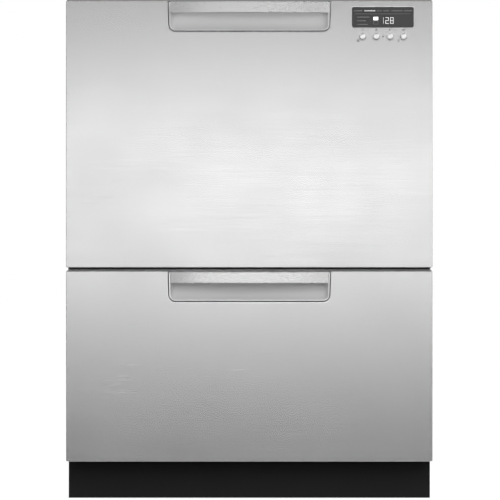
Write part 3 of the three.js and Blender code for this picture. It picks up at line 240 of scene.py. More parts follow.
def rounded_rectangle(x0: float, x1: float, y0: float, y1: float, radius: float, steps: int) -> np.ndarray:
    """Rectangle with circular corners, anticlockwise from its lower left corner.

    Each corner is its centre plus radius times (cos t, sin t), with t over a quarter turn.

    Args:
        x0: Least first coordinate.
        x1: Greatest first coordinate.
        y0: Least second coordinate.
        y1: Greatest second coordinate.
        radius: Corner radius.
        steps: Points in each corner.

    Returns:
        Outline of 4 x steps points.
    """
    quarter = np.linspace(0.0, TAU / 4, steps)
    middles = np.array([
        [x0 + radius, y0 + radius], [x1 - radius, y0 + radius],
        [x1 - radius, y1 - radius], [x0 + radius, y1 - radius],
    ])
    turn = quarter[None, :] + np.array([2, 3, 0, 1])[:, None] * TAU / 4
    arcs = middles[:, None] + radius * np.stack([np.cos(turn), np.sin(turn)], -1)
    return arcs.reshape(-1, 2)


def held(outline: np.ndarray, reach: float = 0.4) -> np.ndarray:
    """Adds a point near both ends of every long edge, so that flats between rounded corners shade flat.

    Args:
        outline: Points of a closed outline.
        reach: Distance of the new points from the ends of their edge.

    Returns:
        The outline with its new points.
    """
    onward = np.roll(outline, -1, axis=0) - outline
    length = np.linalg.norm(onward, axis=1)
    long = length > 5 * reach
    step = onward * (np.where(long, reach, 0.0) / np.maximum(length, 1e-9))[:, None]
    points = np.stack([outline, outline + step, outline + onward - step], 1)
    kept = np.stack([np.ones_like(long), long, long], 1)
    return points[kept]


def standing(outline: np.ndarray, depth: float) -> np.ndarray:
    """Outline of (x, z) points placed at one depth y."""
    return np.stack([outline[:, 0], np.full(len(outline), depth), outline[:, 1]], -1)


def lying(outline: np.ndarray, height: float) -> np.ndarray:
    """Outline of (x, y) points placed at one height z."""
    return np.column_stack([outline, np.full(len(outline), height)])


def bevelled_plate(outline: np.ndarray, inner: np.ndarray, y0: float, y1: float, edge: float) -> Surface:
    """Flat standing plate whose two faces are drawn in by a small edge.

    Rows are: inner outline at y0, outline at y0 + edge, outline at y1 - edge, inner outline at y1.
    """
    places = ((inner, y0), (outline, y0 + edge), (outline, y1 - edge), (inner, y1))
    return Surface.grid(np.array([standing(shape, y) for shape, y in places])).capped(len(outline))


def slab(low: Sequence[float], high: Sequence[float], edge: float) -> Surface:
    """Block with softened edges: two end faces drawn in by the edge, and the full outline between."""
    outline = rounded_rectangle(low[0], high[0], low[2], high[2], edge, 3)
    inner = rounded_rectangle(low[0] + edge, high[0] - edge, low[2] + edge, high[2] - edge, edge, 3)
    return bevelled_plate(outline, inner, low[1], high[1], edge)


# ---------------------------------------------------------------- shader trees


class Tree:
    """A node tree that is written one node at a time."""

    def __init__(self, tree: bpy.types.NodeTree) -> None:
        """Keeps the tree that the nodes go into."""
        self.tree = tree

    def add(self, kind: str, inputs: dict[Any, Any] | None = None, **settings: Any) -> bpy.types.Node:
        """Adds a node and fills its inputs.

        Args:
            kind: Type of the node.
            inputs: Values or sockets by input name or number.
            settings: Properties of the node itself.

        Returns:
            The new node.
        """
        node = self.tree.nodes.new(kind)
        for name, value in settings.items():
            setattr(node, name, value)
        for name, value in (inputs or {}).items():
            if isinstance(value, bpy.types.NodeSocket):
                self.tree.links.new(value, node.inputs[name])
            else:
                node.inputs[name].default_value = value
        return node

    def math(self, operation: str, first: Any, second: Any, clamp: bool = False) -> bpy.types.NodeSocket:
        """Result of one arithmetic step."""
        node = self.add("ShaderNodeMath", {0: first, 1: second}, operation=operation, use_clamp=clamp)
        return node.outputs[0]

    def swing(self, value: Any, amount: Any) -> bpy.types.NodeSocket:
        """How far a value from 0 to 1 lies above its middle, times an amount."""
        return self.math("MULTIPLY", self.math("SUBTRACT", value, 0.5), amount)

    def fit(self, value: Any, low: float, high: float, to_low: float, to_high: float) -> bpy.types.NodeSocket:
        """Value taken from one range to another, held at its ends."""
        inputs = {"Value": value, "From Min": low, "From Max": high, "To Min": to_low, "To Max": to_high}
        return self.add("ShaderNodeMapRange", inputs).outputs[0]

    def place(self) -> bpy.types.NodeSocket:
        """Place on the object."""
        return self.add("ShaderNodeTexCoord").outputs["Object"]

    def noise(self, place: Any, scale: Any, detail: float, **more: float) -> bpy.types.NodeSocket:
        """Level of a noise pattern, with any further inputs by their names."""
        inputs = {"Vector": place, "Scale": scale, "Detail": detail} | more
        return self.add("ShaderNodeTexNoise", inputs).outputs[0]

    def bump(self, height: Any, strength: Any, distance: float) -> bpy.types.NodeSocket:
        """Normal that follows a height."""
        inputs = {"Strength": strength, "Distance": distance, "Height": height}
        return self.add("ShaderNodeBump", inputs).outputs[0]

    def mix(self, share: Any, first: Any, second: Any, blend: str = "MIX") -> bpy.types.NodeSocket:
        """Colour between two others."""
        inputs = {0: share, 6: first, 7: second}
        return self.add("ShaderNodeMix", inputs, data_type="RGBA", blend_type=blend).outputs[2]

    def feed(self, sockets: Any, **results: bpy.types.NodeSocket) -> None:
        """Joins results to sockets by their names."""
        for name, result in results.items():
            self.tree.links.new(result, sockets[name])


def fresh(block: bpy.types.Material | bpy.types.World) -> Tree:
    """Empty node tree of a material or world."""
    block.use_nodes = True
    block.node_tree.nodes.clear()
    return Tree(block.node_tree)


def rgba(colour: Sequence[float]) -> tuple[float, float, float, float]:
    """Colour with its alpha."""
    return (colour[0], colour[1], colour[2], 1.0)


def grey(level: float) -> tuple[float, float, float, float]:
    """Neutral colour of one level."""
    return (level, level, level, 1.0)


@dataclass
class Effects:
    """Shader groups that several finishes share, each built once."""

    made: dict[str, bpy.types.NodeTree] = field(default_factory=dict)

    def group(self, name: str, inputs: dict[str, Any], outputs: Sequence[str]) -> tuple[Tree, Any, Any]:
        """Starts a group with named sockets: a vector for a normal and a number for all else.

        Args:
            name: Name of the group.
            inputs: Default value by name.
            outputs: Names of the results.

        Returns:
            The tree, the sockets of its inputs and the sockets that take its results.
        """
        tree = bpy.data.node_groups.new(name, "ShaderNodeTree")
        kinds = {"Normal": "NodeSocketVector"}
        for socket, value in inputs.items():
            kind = kinds.get(socket, "NodeSocketFloat")
            tree.interface.new_socket(name=socket, in_out="INPUT", socket_type=kind).default_value = value
        for socket in outputs:
            kind = kinds.get(socket, "NodeSocketFloat")
            tree.interface.new_socket(name=socket, in_out="OUTPUT", socket_type=kind)
        self.made[name] = tree
        return Tree(tree), tree.nodes.new("NodeGroupInput").outputs, tree.nodes.new("NodeGroupOutput").inputs

    def use(self, t: Tree, name: str, **inputs: Any) -> Any:
        """Adds a group to a tree and gives its results."""
        return t.add("ShaderNodeGroup", inputs, node_tree=self.made[name]).outputs

    def build(self) -> None:
        """Builds every shared group."""
        self.brushed_grain()
        self.moulded_grain()
        self.worn_edge()
        self.dust_film()
        self.zinc_spangle()

    def brushed_grain(self) -> None:
        """Streaks along X as tone, roughness and height: noise stretched along X, fine and coarse."""
        t, given, out = self.group("brushed_grain", {"Tone": 0.06, "Relief": 0.1}, GRAIN)
        place = t.place()
        streaks = []
        for stretch, scale, share in (((7.0, 520.0, 520.0), 2.0, 0.6), ((4.0, 200.0, 200.0), 1.0, 0.4)):
            spot = t.add("ShaderNodeMapping", {"Vector": place, "Scale": stretch}).outputs[0]
            streaks.append(t.math("MULTIPLY", t.noise(spot, scale, 2.0, Roughness=0.6), share))
        both = t.math("ADD", *streaks)
        t.feed(
            out,
            Tone=t.math("ADD", t.swing(both, given["Tone"]), 1.0),
            Roughness=t.math("ADD", t.swing(both, 0.10), t.swing(t.noise(place, 7.0, 2.0), 0.05)),
            Normal=t.bump(both, given["Relief"], 0.0002),
        )

    def moulded_grain(self) -> None:
        """Fine spark-eroded grain of a moulding, with slow changes of tone and gloss where it flowed."""
        t, given, out = self.group("moulded_grain", {"Scale": 900.0, "Relief": 0.12}, GRAIN)
        place = t.place()
        fine = t.noise(place, given["Scale"], 3.0)
        flow = t.noise(place, 11.0, 3.0, Distortion=0.6)
        t.feed(
            out,
            Tone=t.math("ADD", t.swing(flow, 0.16), 1.0),
            Roughness=t.math("ADD", t.swing(flow, 0.18), t.swing(fine, 0.12)),
            Normal=t.bump(fine, given["Relief"], 0.0003),
        )

    def worn_edge(self) -> None:
        """Rounds sharp edges in the shading and marks them.

        The mask grows as the cosine between the rounded and the true normal falls, and is broken by noise.
        """
        defaults = {"Radius": 0.0008, "Normal": (0.0, 0.0, 0.0)}
        t, given, out = self.group("worn_edge", defaults, ("Mask", "Normal"))
        inputs = {"Radius": given["Radius"], "Normal": given["Normal"]}
        soft = t.add("ShaderNodeBevel", inputs, samples=4).outputs[0]
        plain = t.add("ShaderNodeNewGeometry").outputs["Normal"]
        cosine = t.add("ShaderNodeVectorMath", {0: soft, 1: plain}, operation="DOT_PRODUCT").outputs["Value"]
        patchy = t.noise(t.place(), 60.0, 4.0)
        mask = t.math("MULTIPLY", t.fit(cosine, 0.995, 0.80, 0.0, 1.0), t.fit(patchy, 0.35, 0.65, 0.2, 1.0))
        t.feed(out, Mask=mask, Normal=soft)

    def dust_film(self) -> None:
        """Thin dust on faces that look up: the upward share of the normal times broken noise."""
        t, given, out = self.group("dust_film", {"Amount": 0.3}, ("Mask",))
        normal = t.add("ShaderNodeNewGeometry").outputs["Normal"]
        upward = t.add("ShaderNodeSeparateXYZ", {0: normal}).outputs["Z"]
        broken = t.noise(t.place(), 35.0, 5.0, Roughness=0.7)
        mask = t.math("MULTIPLY", t.fit(upward, 0.4, 0.95, 0.0, 1.0), t.fit(broken, 0.4, 0.75, 0.1, 1.0))
        t.feed(out, Mask=t.math("MULTIPLY", mask, given["Amount"]))

    def zinc_spangle(self) -> None:
        """Zinc crystals: each cell of a distorted Voronoi pattern has its own tone and gloss."""
        t, given, out = self.group("zinc_spangle", {"Size": 90.0, "Tone": 0.2}, ("Tone", "Roughness"))
        place = t.place()
        bend = t.add("ShaderNodeTexNoise", {"Vector": place, "Scale": 60.0, "Detail": 2.0}).outputs["Color"]
        shift = t.add("ShaderNodeVectorMath", {0: bend, "Scale": 0.012}, operation="SCALE").outputs[0]
        spot = t.add("ShaderNodeVectorMath", {0: place, 1: shift}, operation="ADD").outputs[0]
        cells = t.add("ShaderNodeTexVoronoi", {"Vector": spot, "Scale": given["Size"]}).outputs["Color"]
        level = t.add("ShaderNodeSeparateColor", {0: cells}).outputs[0]
        t.feed(out, Tone=t.math("ADD", t.swing(level, given["Tone"]), 1.0), Roughness=t.swing(level, 0.22))


EFFECTS = Effects()


# ---------------------------------------------------------------- finishes


# Worn edges are the finish's colour times a gain plus a lift; dust lays its own colour and dulls the gloss.
EDGE_GAIN = 1.25
EDGE_LIFT = 0.03
DUST_COLOUR = (0.42, 0.40, 0.37)
DUST_DULLS = 0.5


@dataclass(frozen=True)
class Finish:
    """A surface finish: its name, colour, gloss and the wear that it shows."""

    name: str
    colour: tuple[float, float, float]
    roughness: float
    edge: float = 0.0006
    wear: float = 0.25
    dust: float = 0.0

    def grain(self, t: Tree) -> Any:
        """Sockets that give tone, roughness and, on most, the normal; None for a plain surface."""
        return None

    def settings(self, t: Tree) -> dict[str, Any]:
        """Inputs of the shader that differ from a plain plastic."""
        return {}

    def colour_nodes(self, t: Tree, grain: Any, mask: Any) -> bpy.types.NodeSocket:
        """Base colour: the finish's colour times the grain's tone, lightened along worn edges.

        Args:
            t: Tree that the nodes go into.
            grain: Sockets of the grain, if the finish has one.
            mask: How worn the edge is.

        Returns:
            The colour's socket.
        """
        colour: Any = rgba(self.colour)
        if grain is not None:
            tone = t.add("ShaderNodeCombineColor", dict.fromkeys((0, 1, 2), grain["Tone"])).outputs[0]
            colour = t.mix(1.0, colour, tone, "MULTIPLY")
        light = rgba([min(1.0, c * EDGE_GAIN + EDGE_LIFT) for c in self.colour])
        return t.mix(t.math("MULTIPLY", mask, self.wear), colour, light)

    def material(self) -> bpy.types.Material:
        """Builds the material once and returns it.

        Returns:
            The material that carries this finish.
        """
        known = bpy.data.materials.get(self.name)
        if known is not None:
            return known
        material = bpy.data.materials.new(self.name)
        t = fresh(material)
        grain = self.grain(t)
        normal = {"Normal": grain["Normal"]} if grain is not None and "Normal" in grain else {}
        edge = EFFECTS.use(t, "worn_edge", Radius=self.edge, **normal)
        colour = self.colour_nodes(t, grain, edge["Mask"])
        rough: Any = self.roughness
        if grain is not None:
            rough = t.math("ADD", grain["Roughness"], rough, clamp=True)
        if self.dust > 0.0:
            film = EFFECTS.use(t, "dust_film", Amount=self.dust)["Mask"]
            colour = t.mix(film, colour, rgba(DUST_COLOUR))
            rough = t.math("ADD", rough, t.math("MULTIPLY", film, DUST_DULLS), clamp=True)
        inputs = {"Base Color": colour, "Roughness": rough, "Normal": edge["Normal"]} | self.settings(t)
        shader = t.add("ShaderNodeBsdfPrincipled", inputs)
        t.add("ShaderNodeOutputMaterial", {"Surface": shader.outputs[0]})
        return material


@dataclass(frozen=True)
class BrushedSteel(Finish):
    """Stainless steel brushed along X."""

    tone: float = 0.07
    relief: float = 0.02
    spread: float = 0.55
    metallic: float = 1.0
    rotation: float = 0.25

    def grain(self, t: Tree) -> Any:
        """Brushed streaks of this steel."""
        return EFFECTS.use(t, "brushed_grain", Tone=self.tone, Relief=self.relief)

    def settings(self, t: Tree) -> dict[str, Any]:
        """Metal whose highlights stretch across the brushing, which runs along X."""
        along = t.add("ShaderNodeCombineXYZ", {0: 1.0, 1: 0.0, 2: 0.0}).outputs[0]
        return {
            "Metallic": self.metallic, "Anisotropic": self.spread, "Anisotropic Rotation": self.rotation,
            "Tangent": along,
        }


@dataclass(frozen=True)
class ZincSheet(Finish):
    """Zinc coated steel sheet with faint crystals."""

    size: float = 90.0
    tone: float = 0.16
    metallic: float = 0.85

    def grain(self, t: Tree) -> Any:
        """Crystals of this sheet."""
        return EFFECTS.use(t, "zinc_spangle", Size=self.size, Tone=self.tone)

    def settings(self, t: Tree) -> dict[str, Any]:
        """A metal under its dull oxide."""
        return {"Metallic": self.metallic}


@dataclass(frozen=True)
class Moulded(Finish):
    """Plastic, rubber, paint, plating or cast metal, told apart by grain and gloss."""

    scale: float = 900.0
    relief: float = 0.12
    coat: float = 0.0
    coat_roughness: float = 0.12
    metallic: float = 0.0
    specular: float = 0.5
    subsurface: float = 0.0
    depth: float = 0.002

    def grain(self, t: Tree) -> Any:
        """Grain left by this mould."""
        return EFFECTS.use(t, "moulded_grain", Scale=self.scale, Relief=self.relief)

    def settings(self, t: Tree) -> dict[str, Any]:
        """Gloss, coat and depth of this moulding."""
        return {
            "Metallic": self.metallic, "Coat Weight": self.coat, "Coat Roughness": self.coat_roughness,
            "Specular IOR Level": self.specular, "Subsurface Weight": self.subsurface,
            "Subsurface Scale": self.depth,
        }


@dataclass(frozen=True)
class Lit(Finish):
    """Lit mark at the face of the smoked window."""

    strength: float = 1.0

    def settings(self, t: Tree) -> dict[str, Any]:
        """Light of its own colour."""
        return {"Emission Color": rgba(self.colour), "Emission Strength": self.strength}


FRONT_STEEL = BrushedSteel(
    "brushed_front_steel", (0.60, 0.60, 0.602), 0.25, edge=0.0004, wear=0.15, relief=0.0, spread=0.9)
BAR_STEEL = BrushedSteel(
    "brushed_bar_steel", (0.70, 0.70, 0.70), 0.28, edge=0.0004, wear=0.1, relief=0.0, spread=0.9)
RECESS_STEEL = BrushedSteel(
    "satin_recess_steel", (0.62, 0.62, 0.62), 0.42, edge=0.0004, wear=0.1, tone=0.05, spread=0.2,
    metallic=0.1)
RIM_STEEL = BrushedSteel(
    "bright_rim_steel", (0.74, 0.74, 0.74), 0.30, edge=0.0003, wear=0.1, tone=0.04, spread=0.4)
FILTER_STEEL = BrushedSteel("filter_steel", (0.60, 0.60, 0.60), 0.30, tone=0.05)
SHEET_ZINC = ZincSheet("zinc_coated_sheet", (0.52, 0.54, 0.56), 0.40, dust=0.25)
RUNNER_ZINC = ZincSheet("bright_zinc_runner", (0.60, 0.62, 0.63), 0.26, size=400.0, tone=0.08)
KICK_PAINT = Moulded(
    "satin_kick_paint", (0.005, 0.005, 0.0053), 0.45, scale=500.0, relief=0.2, wear=0.03, specular=0.15)
TUB_PLASTIC = Moulded("tub_polypropylene", (0.56, 0.58, 0.60), 0.38, scale=700.0, subsurface=0.05)
LID_PLASTIC = Moulded("lid_moulding", (0.70, 0.71, 0.72), 0.42, scale=800.0)
BLACK_PLASTIC = Moulded("black_moulding", (0.02, 0.02, 0.022), 0.45, dust=0.12)
GREY_PLASTIC = Moulded("grey_moulding", (0.27, 0.29, 0.31), 0.36)
BOARD_PLASTIC = Moulded("inner_board", (0.50, 0.51, 0.52), 0.45)
WIRE_COATING = Moulded("nylon_wire_coating", (0.38, 0.40, 0.42), 0.34, scale=1600.0, relief=0.08)
# Black rubber of the lid seal, also the colour of the strip and the ring that paint shade in the gaps between
# the fronts and round the handle rim.
SEAL_AND_SHADE_RUBBER = Moulded(
    "seal_rubber", (0.014, 0.014, 0.015), 0.62, scale=1300.0, relief=0.2, wear=0.05, specular=0.2)
SMOKED_WINDOW = Moulded(
    "smoked_window", (0.052, 0.052, 0.052), 0.10, scale=200.0, relief=0.01, coat=0.6, wear=0.0)
BUTTON_CHROME = Moulded(
    "satin_chrome_button", (0.90, 0.90, 0.90), 0.38, scale=1500.0, relief=0.03, metallic=1.0)
CAST_BRASS = Moulded("cast_brass", (0.55, 0.42, 0.20), 0.34, scale=650.0, relief=0.25, metallic=1.0)
LIT_MARK = Lit("lit_mark", (1.0, 1.0, 1.0), 0.5, strength=0.9)
GLOWING_MARK = Lit("glowing_mark", (0.62, 0.62, 0.62), 0.5, strength=0.7)
DIM_MARK = Lit("dim_mark", (0.14, 0.14, 0.14), 0.5, strength=0.5)
PRINTED_MARK = Moulded("printed_mark", (0.10, 0.10, 0.10), 0.5, scale=1500.0, wear=0.0)


# ---------------------------------------------------------------- making pieces


MERGE_DISTANCE = 2e-6
LEAST_EDGE = 1e-7


def outward(mesh: bpy.types.Mesh, facing: Sequence[float] | None) -> None:
    """Merges doubles and turns the faces outwards.

    Args:
        mesh: Mesh to clean.
        facing: For an open surface, the direction that most of its faces look in.
    """
    work = bmesh.new()
    work.from_mesh(mesh)
    bmesh.ops.remove_doubles(work, verts=work.verts, dist=MERGE_DISTANCE)
    bmesh.ops.dissolve_degenerate(work, edges=work.edges, dist=LEAST_EDGE)
    bmesh.ops.recalc_face_normals(work, faces=work.faces)
    if facing is not None:
        work.normal_update()
        if sum(face.normal.dot(facing) * face.calc_area() for face in work.faces) < 0.0:
            bmesh.ops.reverse_faces(work, faces=work.faces)
    work.to_mesh(mesh)
    work.free()


@dataclass
class Piece:
    """One finished object of the dressed model."""

    name: str
    surface: Surface
    finish: Finish
    body: str
    slot: str
    replaces: str = ""
    facing: tuple[float, float, float] | None = None
    sharp: float = 35.0

    def build(self) -> bpy.types.Object:
        """Makes the object, dresses it and ties it to its body.

        Returns:
            The object, at the origin.
        """
        mesh = bpy.data.meshes.new(self.name)
        mesh.from_pydata((self.surface.points * MM).tolist(), [], self.surface.faces)
        outward(mesh, self.facing)
        mesh.shade_smooth()
        mesh.set_sharp_from_angle(angle=math.radians(self.sharp))
        mesh.materials.append(self.finish.material())
        made = bpy.data.objects.new(self.name, mesh)
        bpy.context.scene.collection.objects.link(made)
        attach(made, self.body)
        if self.replaces:
            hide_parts(self.replaces)
        LOG.info("%s: %d faces", self.name, len(mesh.polygons))
        return made


@dataclass
class DrawerPart:
    """Part that each wash drawer has, with its sizes in millimetres."""

    drawer: Drawer

    def piece(self, name: str, surface: Surface, finish: Finish, slot: str, stands_for: str = "",
              **looks: Any) -> bpy.types.Object:
        """Builds a piece that rides on this drawer, or on the body that the looks name.

        Args:
            name: Name of the piece, without the drawer's.
            surface: Its shape.
            finish: Its finish.
            slot: Its slot.
            stands_for: Part whose solid it replaces, if it stands for a whole one.
            looks: Further fields of the piece.

        Returns:
            The object.
        """
        fields = {"body": self.drawer.body} | looks
        replaced = self.drawer.node(stands_for) if stands_for else ""
        return Piece(self.drawer.node(name), surface, finish, slot=slot, replaces=replaced, **fields).build()


# ---------------------------------------------------------------- fronts and handles


@dataclass
class HandleOpening:
    """Outline of the handle's opening in a front, in (x, z)."""

    top: float
    width: float = 267.0
    height: float = 49.0
    taper: float = 1.5
    corner: float = 11.0
    drop: float = 4.2
    corner_steps: int = 9

    def outline(self, inset: float, top_inset: float | None = None) -> np.ndarray:
        """Straight top, sides drawn in towards the bottom, and round bottom corners.

        Args:
            inset: How far the outline lies inside the opening.
            top_inset: The same for the top edge alone.

        Returns:
            Points from the upper left, down, along the bottom and up to the upper right.
        """
        upper = self.width / 2 - inset
        lower = upper - self.taper
        high = self.top - self.drop - (inset if top_inset is None else top_inset)
        low = self.top - self.drop - self.height + inset
        radius = max(self.corner - inset, 0.5)
        quarter = np.linspace(0.0, TAU / 4, self.corner_steps)
        left = np.stack([-lower + radius * (1 - np.cos(quarter)), low + radius * (1 - np.sin(quarter))], -1)
        right = left[::-1] * np.array([-1.0, 1.0])
        return np.vstack([[[-upper, high]], left, right, [[upper, high]]])


@dataclass
class FrontPanel(DrawerPart):
    """Folded steel front with its rolled openings, the flat inner board behind it and a black strip of
    painted shade in the gap.
    """

    chamfer: float = 4.0
    corner_reach: float = 3.4
    corner_rise: float = 1.6
    corner_hold: float = 0.4
    roll: float = 0.6
    roll_steps: int = 5
    flat_edge: float = 0.7
    side_depth: float = 2.6
    lip: float = 0.7
    lip_flat: float = 1.4
    lip_depth: float = 3.2
    handle_top_share: float = 0.04
    hem: float = 12.0
    hem_bend: float = 1.2
    hem_knee: float = 0.4
    hem_turn: float = 1.0
    face_drop: float = 0.05
    sheet: float = 0.9
    board_margin: float = 1.5
    board_edge: float = 0.8
    board_gap: float = 0.05
    # Sizes of the black strip below the front: painted shade, hung in the gap between the fronts to darken
    # it.
    shade_strip_inset: float = 3.5
    shade_strip_drop: float = 2.3
    shade_strip_height: float = 2.7
    shade_strip_near: float = 7.5
    shade_strip_far: float = 0.5
    shade_strip_edge: float = 0.3

    def ring(self, depth: float, inset: float, drop: float = 0.0) -> np.ndarray:
        """Outline of the folded front at one depth behind its face.

        Sides and bottom lie an inset inside the front's outline. The top edge leans back at 45 degrees,
        and both its corners are cut across at 45 degrees.

        Args:
            depth: Distance behind the face.
            inset: Distance inside the outline.
            drop: How much lower the top edge lies than the fold.

        Returns:
            The ring's points.
        """
        half = FRONT_WIDTH / 2
        side, low = half - inset, self.drawer.bottom + inset
        rise = min(depth, self.chamfer)
        near, far = min(inset, rise), max(inset, rise)
        step = self.drawer.top - self.chamfer - drop
        turn = np.linspace(0.0, TAU / 4, self.roll_steps)
        across, up = self.corner_reach * (1 - np.cos(turn)), self.corner_rise * (1 - np.sin(turn))
        corner = np.stack([side - across, low + up], -1)
        upper = [[side, step + near - self.corner_hold], [side, step + near], [half - far, step + rise]]
        right = np.vstack([corner[::-1], upper])
        left = right[::-1] * np.array([-1.0, 1.0])
        return standing(np.vstack([right, left]), FACE_Y + depth)

    def hem_ring(self, depth: float, inset: float) -> np.ndarray:
        """Ring of the same count whose every edge lies an inset inside, for the folded hem.

        Args:
            depth: Distance behind the face.
            inset: Distance inside the outline.

        Returns:
            The ring's points.
        """
        ring = self.ring(self.chamfer, 0.0)
        centre = np.array([0.0, 0.0, (self.drawer.bottom + self.drawer.top) / 2])
        half = np.array([FRONT_WIDTH / 2, 1.0, (self.drawer.top - self.drawer.bottom) / 2])
        scale = np.array([(half[0] - inset) / half[0], 1.0, (half[2] - inset) / half[2]])
        moved = (ring - centre) * scale + centre
        moved[:, 1] = FACE_Y + depth
        return moved

    def rim_rings(self) -> np.ndarray:
        """Rings from the face's edge round to the hem.

        The side's roll is a quarter circle: inset = r - sqrt(r^2 - (r - d)^2) at depth d.
        """
        turn = np.linspace(0.0, TAU / 4, self.roll_steps)
        depth = self.roll * (1 - np.cos(turn))
        inset = self.roll * (1 - np.sin(turn))
        rings = [self.ring(0.0, self.roll + self.flat_edge, self.face_drop)]
        rings += [self.ring(d, i) for d, i in zip(depth.tolist(), inset.tolist())]
        rings += [self.ring(d, 0.0) for d in (self.side_depth, self.chamfer, self.chamfer + 0.5)]
        back = HEM_Y - FACE_Y
        hem = ((back - self.hem_bend, 0.0), (back - self.hem_knee, self.hem_knee), (back, self.hem_bend),
               (back, self.hem), (back - self.hem_turn, self.hem))
        rings += [self.hem_ring(d, i) for d, i in hem]
        return np.array(rings)

    def lip_rings(self, outline: Outline, top_share: float = 1.0) -> np.ndarray:
        """Rings of one opening, from the flat face over its rolled lip to behind the skin.

        The lip is a quarter circle: outset = r (1 - sin t), depth = r (1 - cos t).

        Args:
            outline: Function of inset and top inset that gives the opening's (x, z) outline.
            top_share: How much of the roll the top edge has.

        Returns:
            The rings, the first one flat on the face.
        """
        flat = self.lip + self.lip_flat
        rings = [standing(outline(-flat, -flat * top_share), FACE_Y)]
        for angle in np.linspace(0.0, TAU / 4, self.roll_steps):
            outset, depth = self.lip * (1 - math.sin(angle)), self.lip * (1 - math.cos(angle))
            rings.append(standing(outline(-outset, -outset * top_share), FACE_Y + depth))
        rings.append(standing(outline(0.0, 0.0), FACE_Y + self.lip_depth))
        return np.array(rings)

    def openings(self) -> list[np.ndarray]:
        """Ring stacks of every opening in this front."""
        stacks = [self.lip_rings(HandleOpening(self.drawer.top).outline, self.handle_top_share)]
        if self.drawer is Drawer.UPPER:
            stacks += ControlPanel().openings(self)
        return stacks

    def skin(self) -> bpy.types.Object:
        """The steel skin: rims and lips as grids, and the flat face filled between their first rings."""
        stacks = [self.rim_rings()] + self.openings()
        parts = [Surface.grid(stack) for stack in stacks]
        parts.append(self.filled([stack[0] for stack in stacks]))
        skin = self.piece("front_skin", Surface.joined(parts), FRONT_STEEL, "front_steel",
                          facing=(0.0, -1.0, 0.0), sharp=40.0)
        wall = skin.modifiers.new("sheet", "SOLIDIFY")
        wall.thickness = self.sheet * MM
        wall.offset = -1.0
        return skin

    def filled(self, rings: Sequence[np.ndarray]) -> Surface:
        """Flat face between the outer ring and the openings' rings.

        Args:
            rings: Outer ring first, then one for each opening.

        Returns:
            Triangles that fill the face.
        """
        work = bmesh.new()
        for ring in rings:
            apart = np.linalg.norm(ring - np.roll(ring, -1, axis=0), axis=1) > 1e-6
            corners = [work.verts.new(point) for point in ring[apart].tolist()]
            for first, second in zip(corners, corners[1:] + corners[:1]):
                work.edges.new((first, second))
        bmesh.ops.triangle_fill(work, use_beauty=True, edges=work.edges[:], normal=(0.0, -1.0, 0.0))
        work.verts.index_update()
        points = np.array([vert.co[:] for vert in work.verts])
        faces = [[vert.index for vert in face.verts] for face in work.faces]
        work.free()
        return Surface(points, faces)

    def board(self) -> bpy.types.Object:
        """Flat board that closes the back of the front."""
        reach = FRONT_WIDTH / 2 - self.hem / 2
        low, high = self.drawer.bottom + self.board_margin, self.drawer.top - self.chamfer
        surface = slab((-reach, HEM_Y + self.board_gap, low), (reach, BOARD_Y, high), self.board_edge)
        return self.piece("front_board", surface, BOARD_PLASTIC, "front_steel")

    def gap_seal(self) -> None:
        """Black rubber strip that hangs into the gap below the front, clear of the front beneath: painted
        shade, a dark piece that darkens the gap where there is only shadow.
        """
        reach, low = FRONT_WIDTH / 2 - self.shade_strip_inset, self.drawer.bottom - self.shade_strip_drop
        near, far = HEM_Y - self.shade_strip_near, HEM_Y - self.shade_strip_far
        surface = slab((-reach, near, low), (reach, far, low + self.shade_strip_height), self.shade_strip_edge)
        self.piece("gap_seal", surface, SEAL_AND_SHADE_RUBBER, "front_steel")

    def build(self) -> None:
        """Builds the skin and the board, which stand for the solid front, and on the upper drawer the black
        strip of painted shade in the gap.
        """
        for part in [self.skin(), self.board()]:
            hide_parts(self.drawer.node("front_panel"))
        if self.drawer is Drawer.UPPER:
            self.gap_seal()


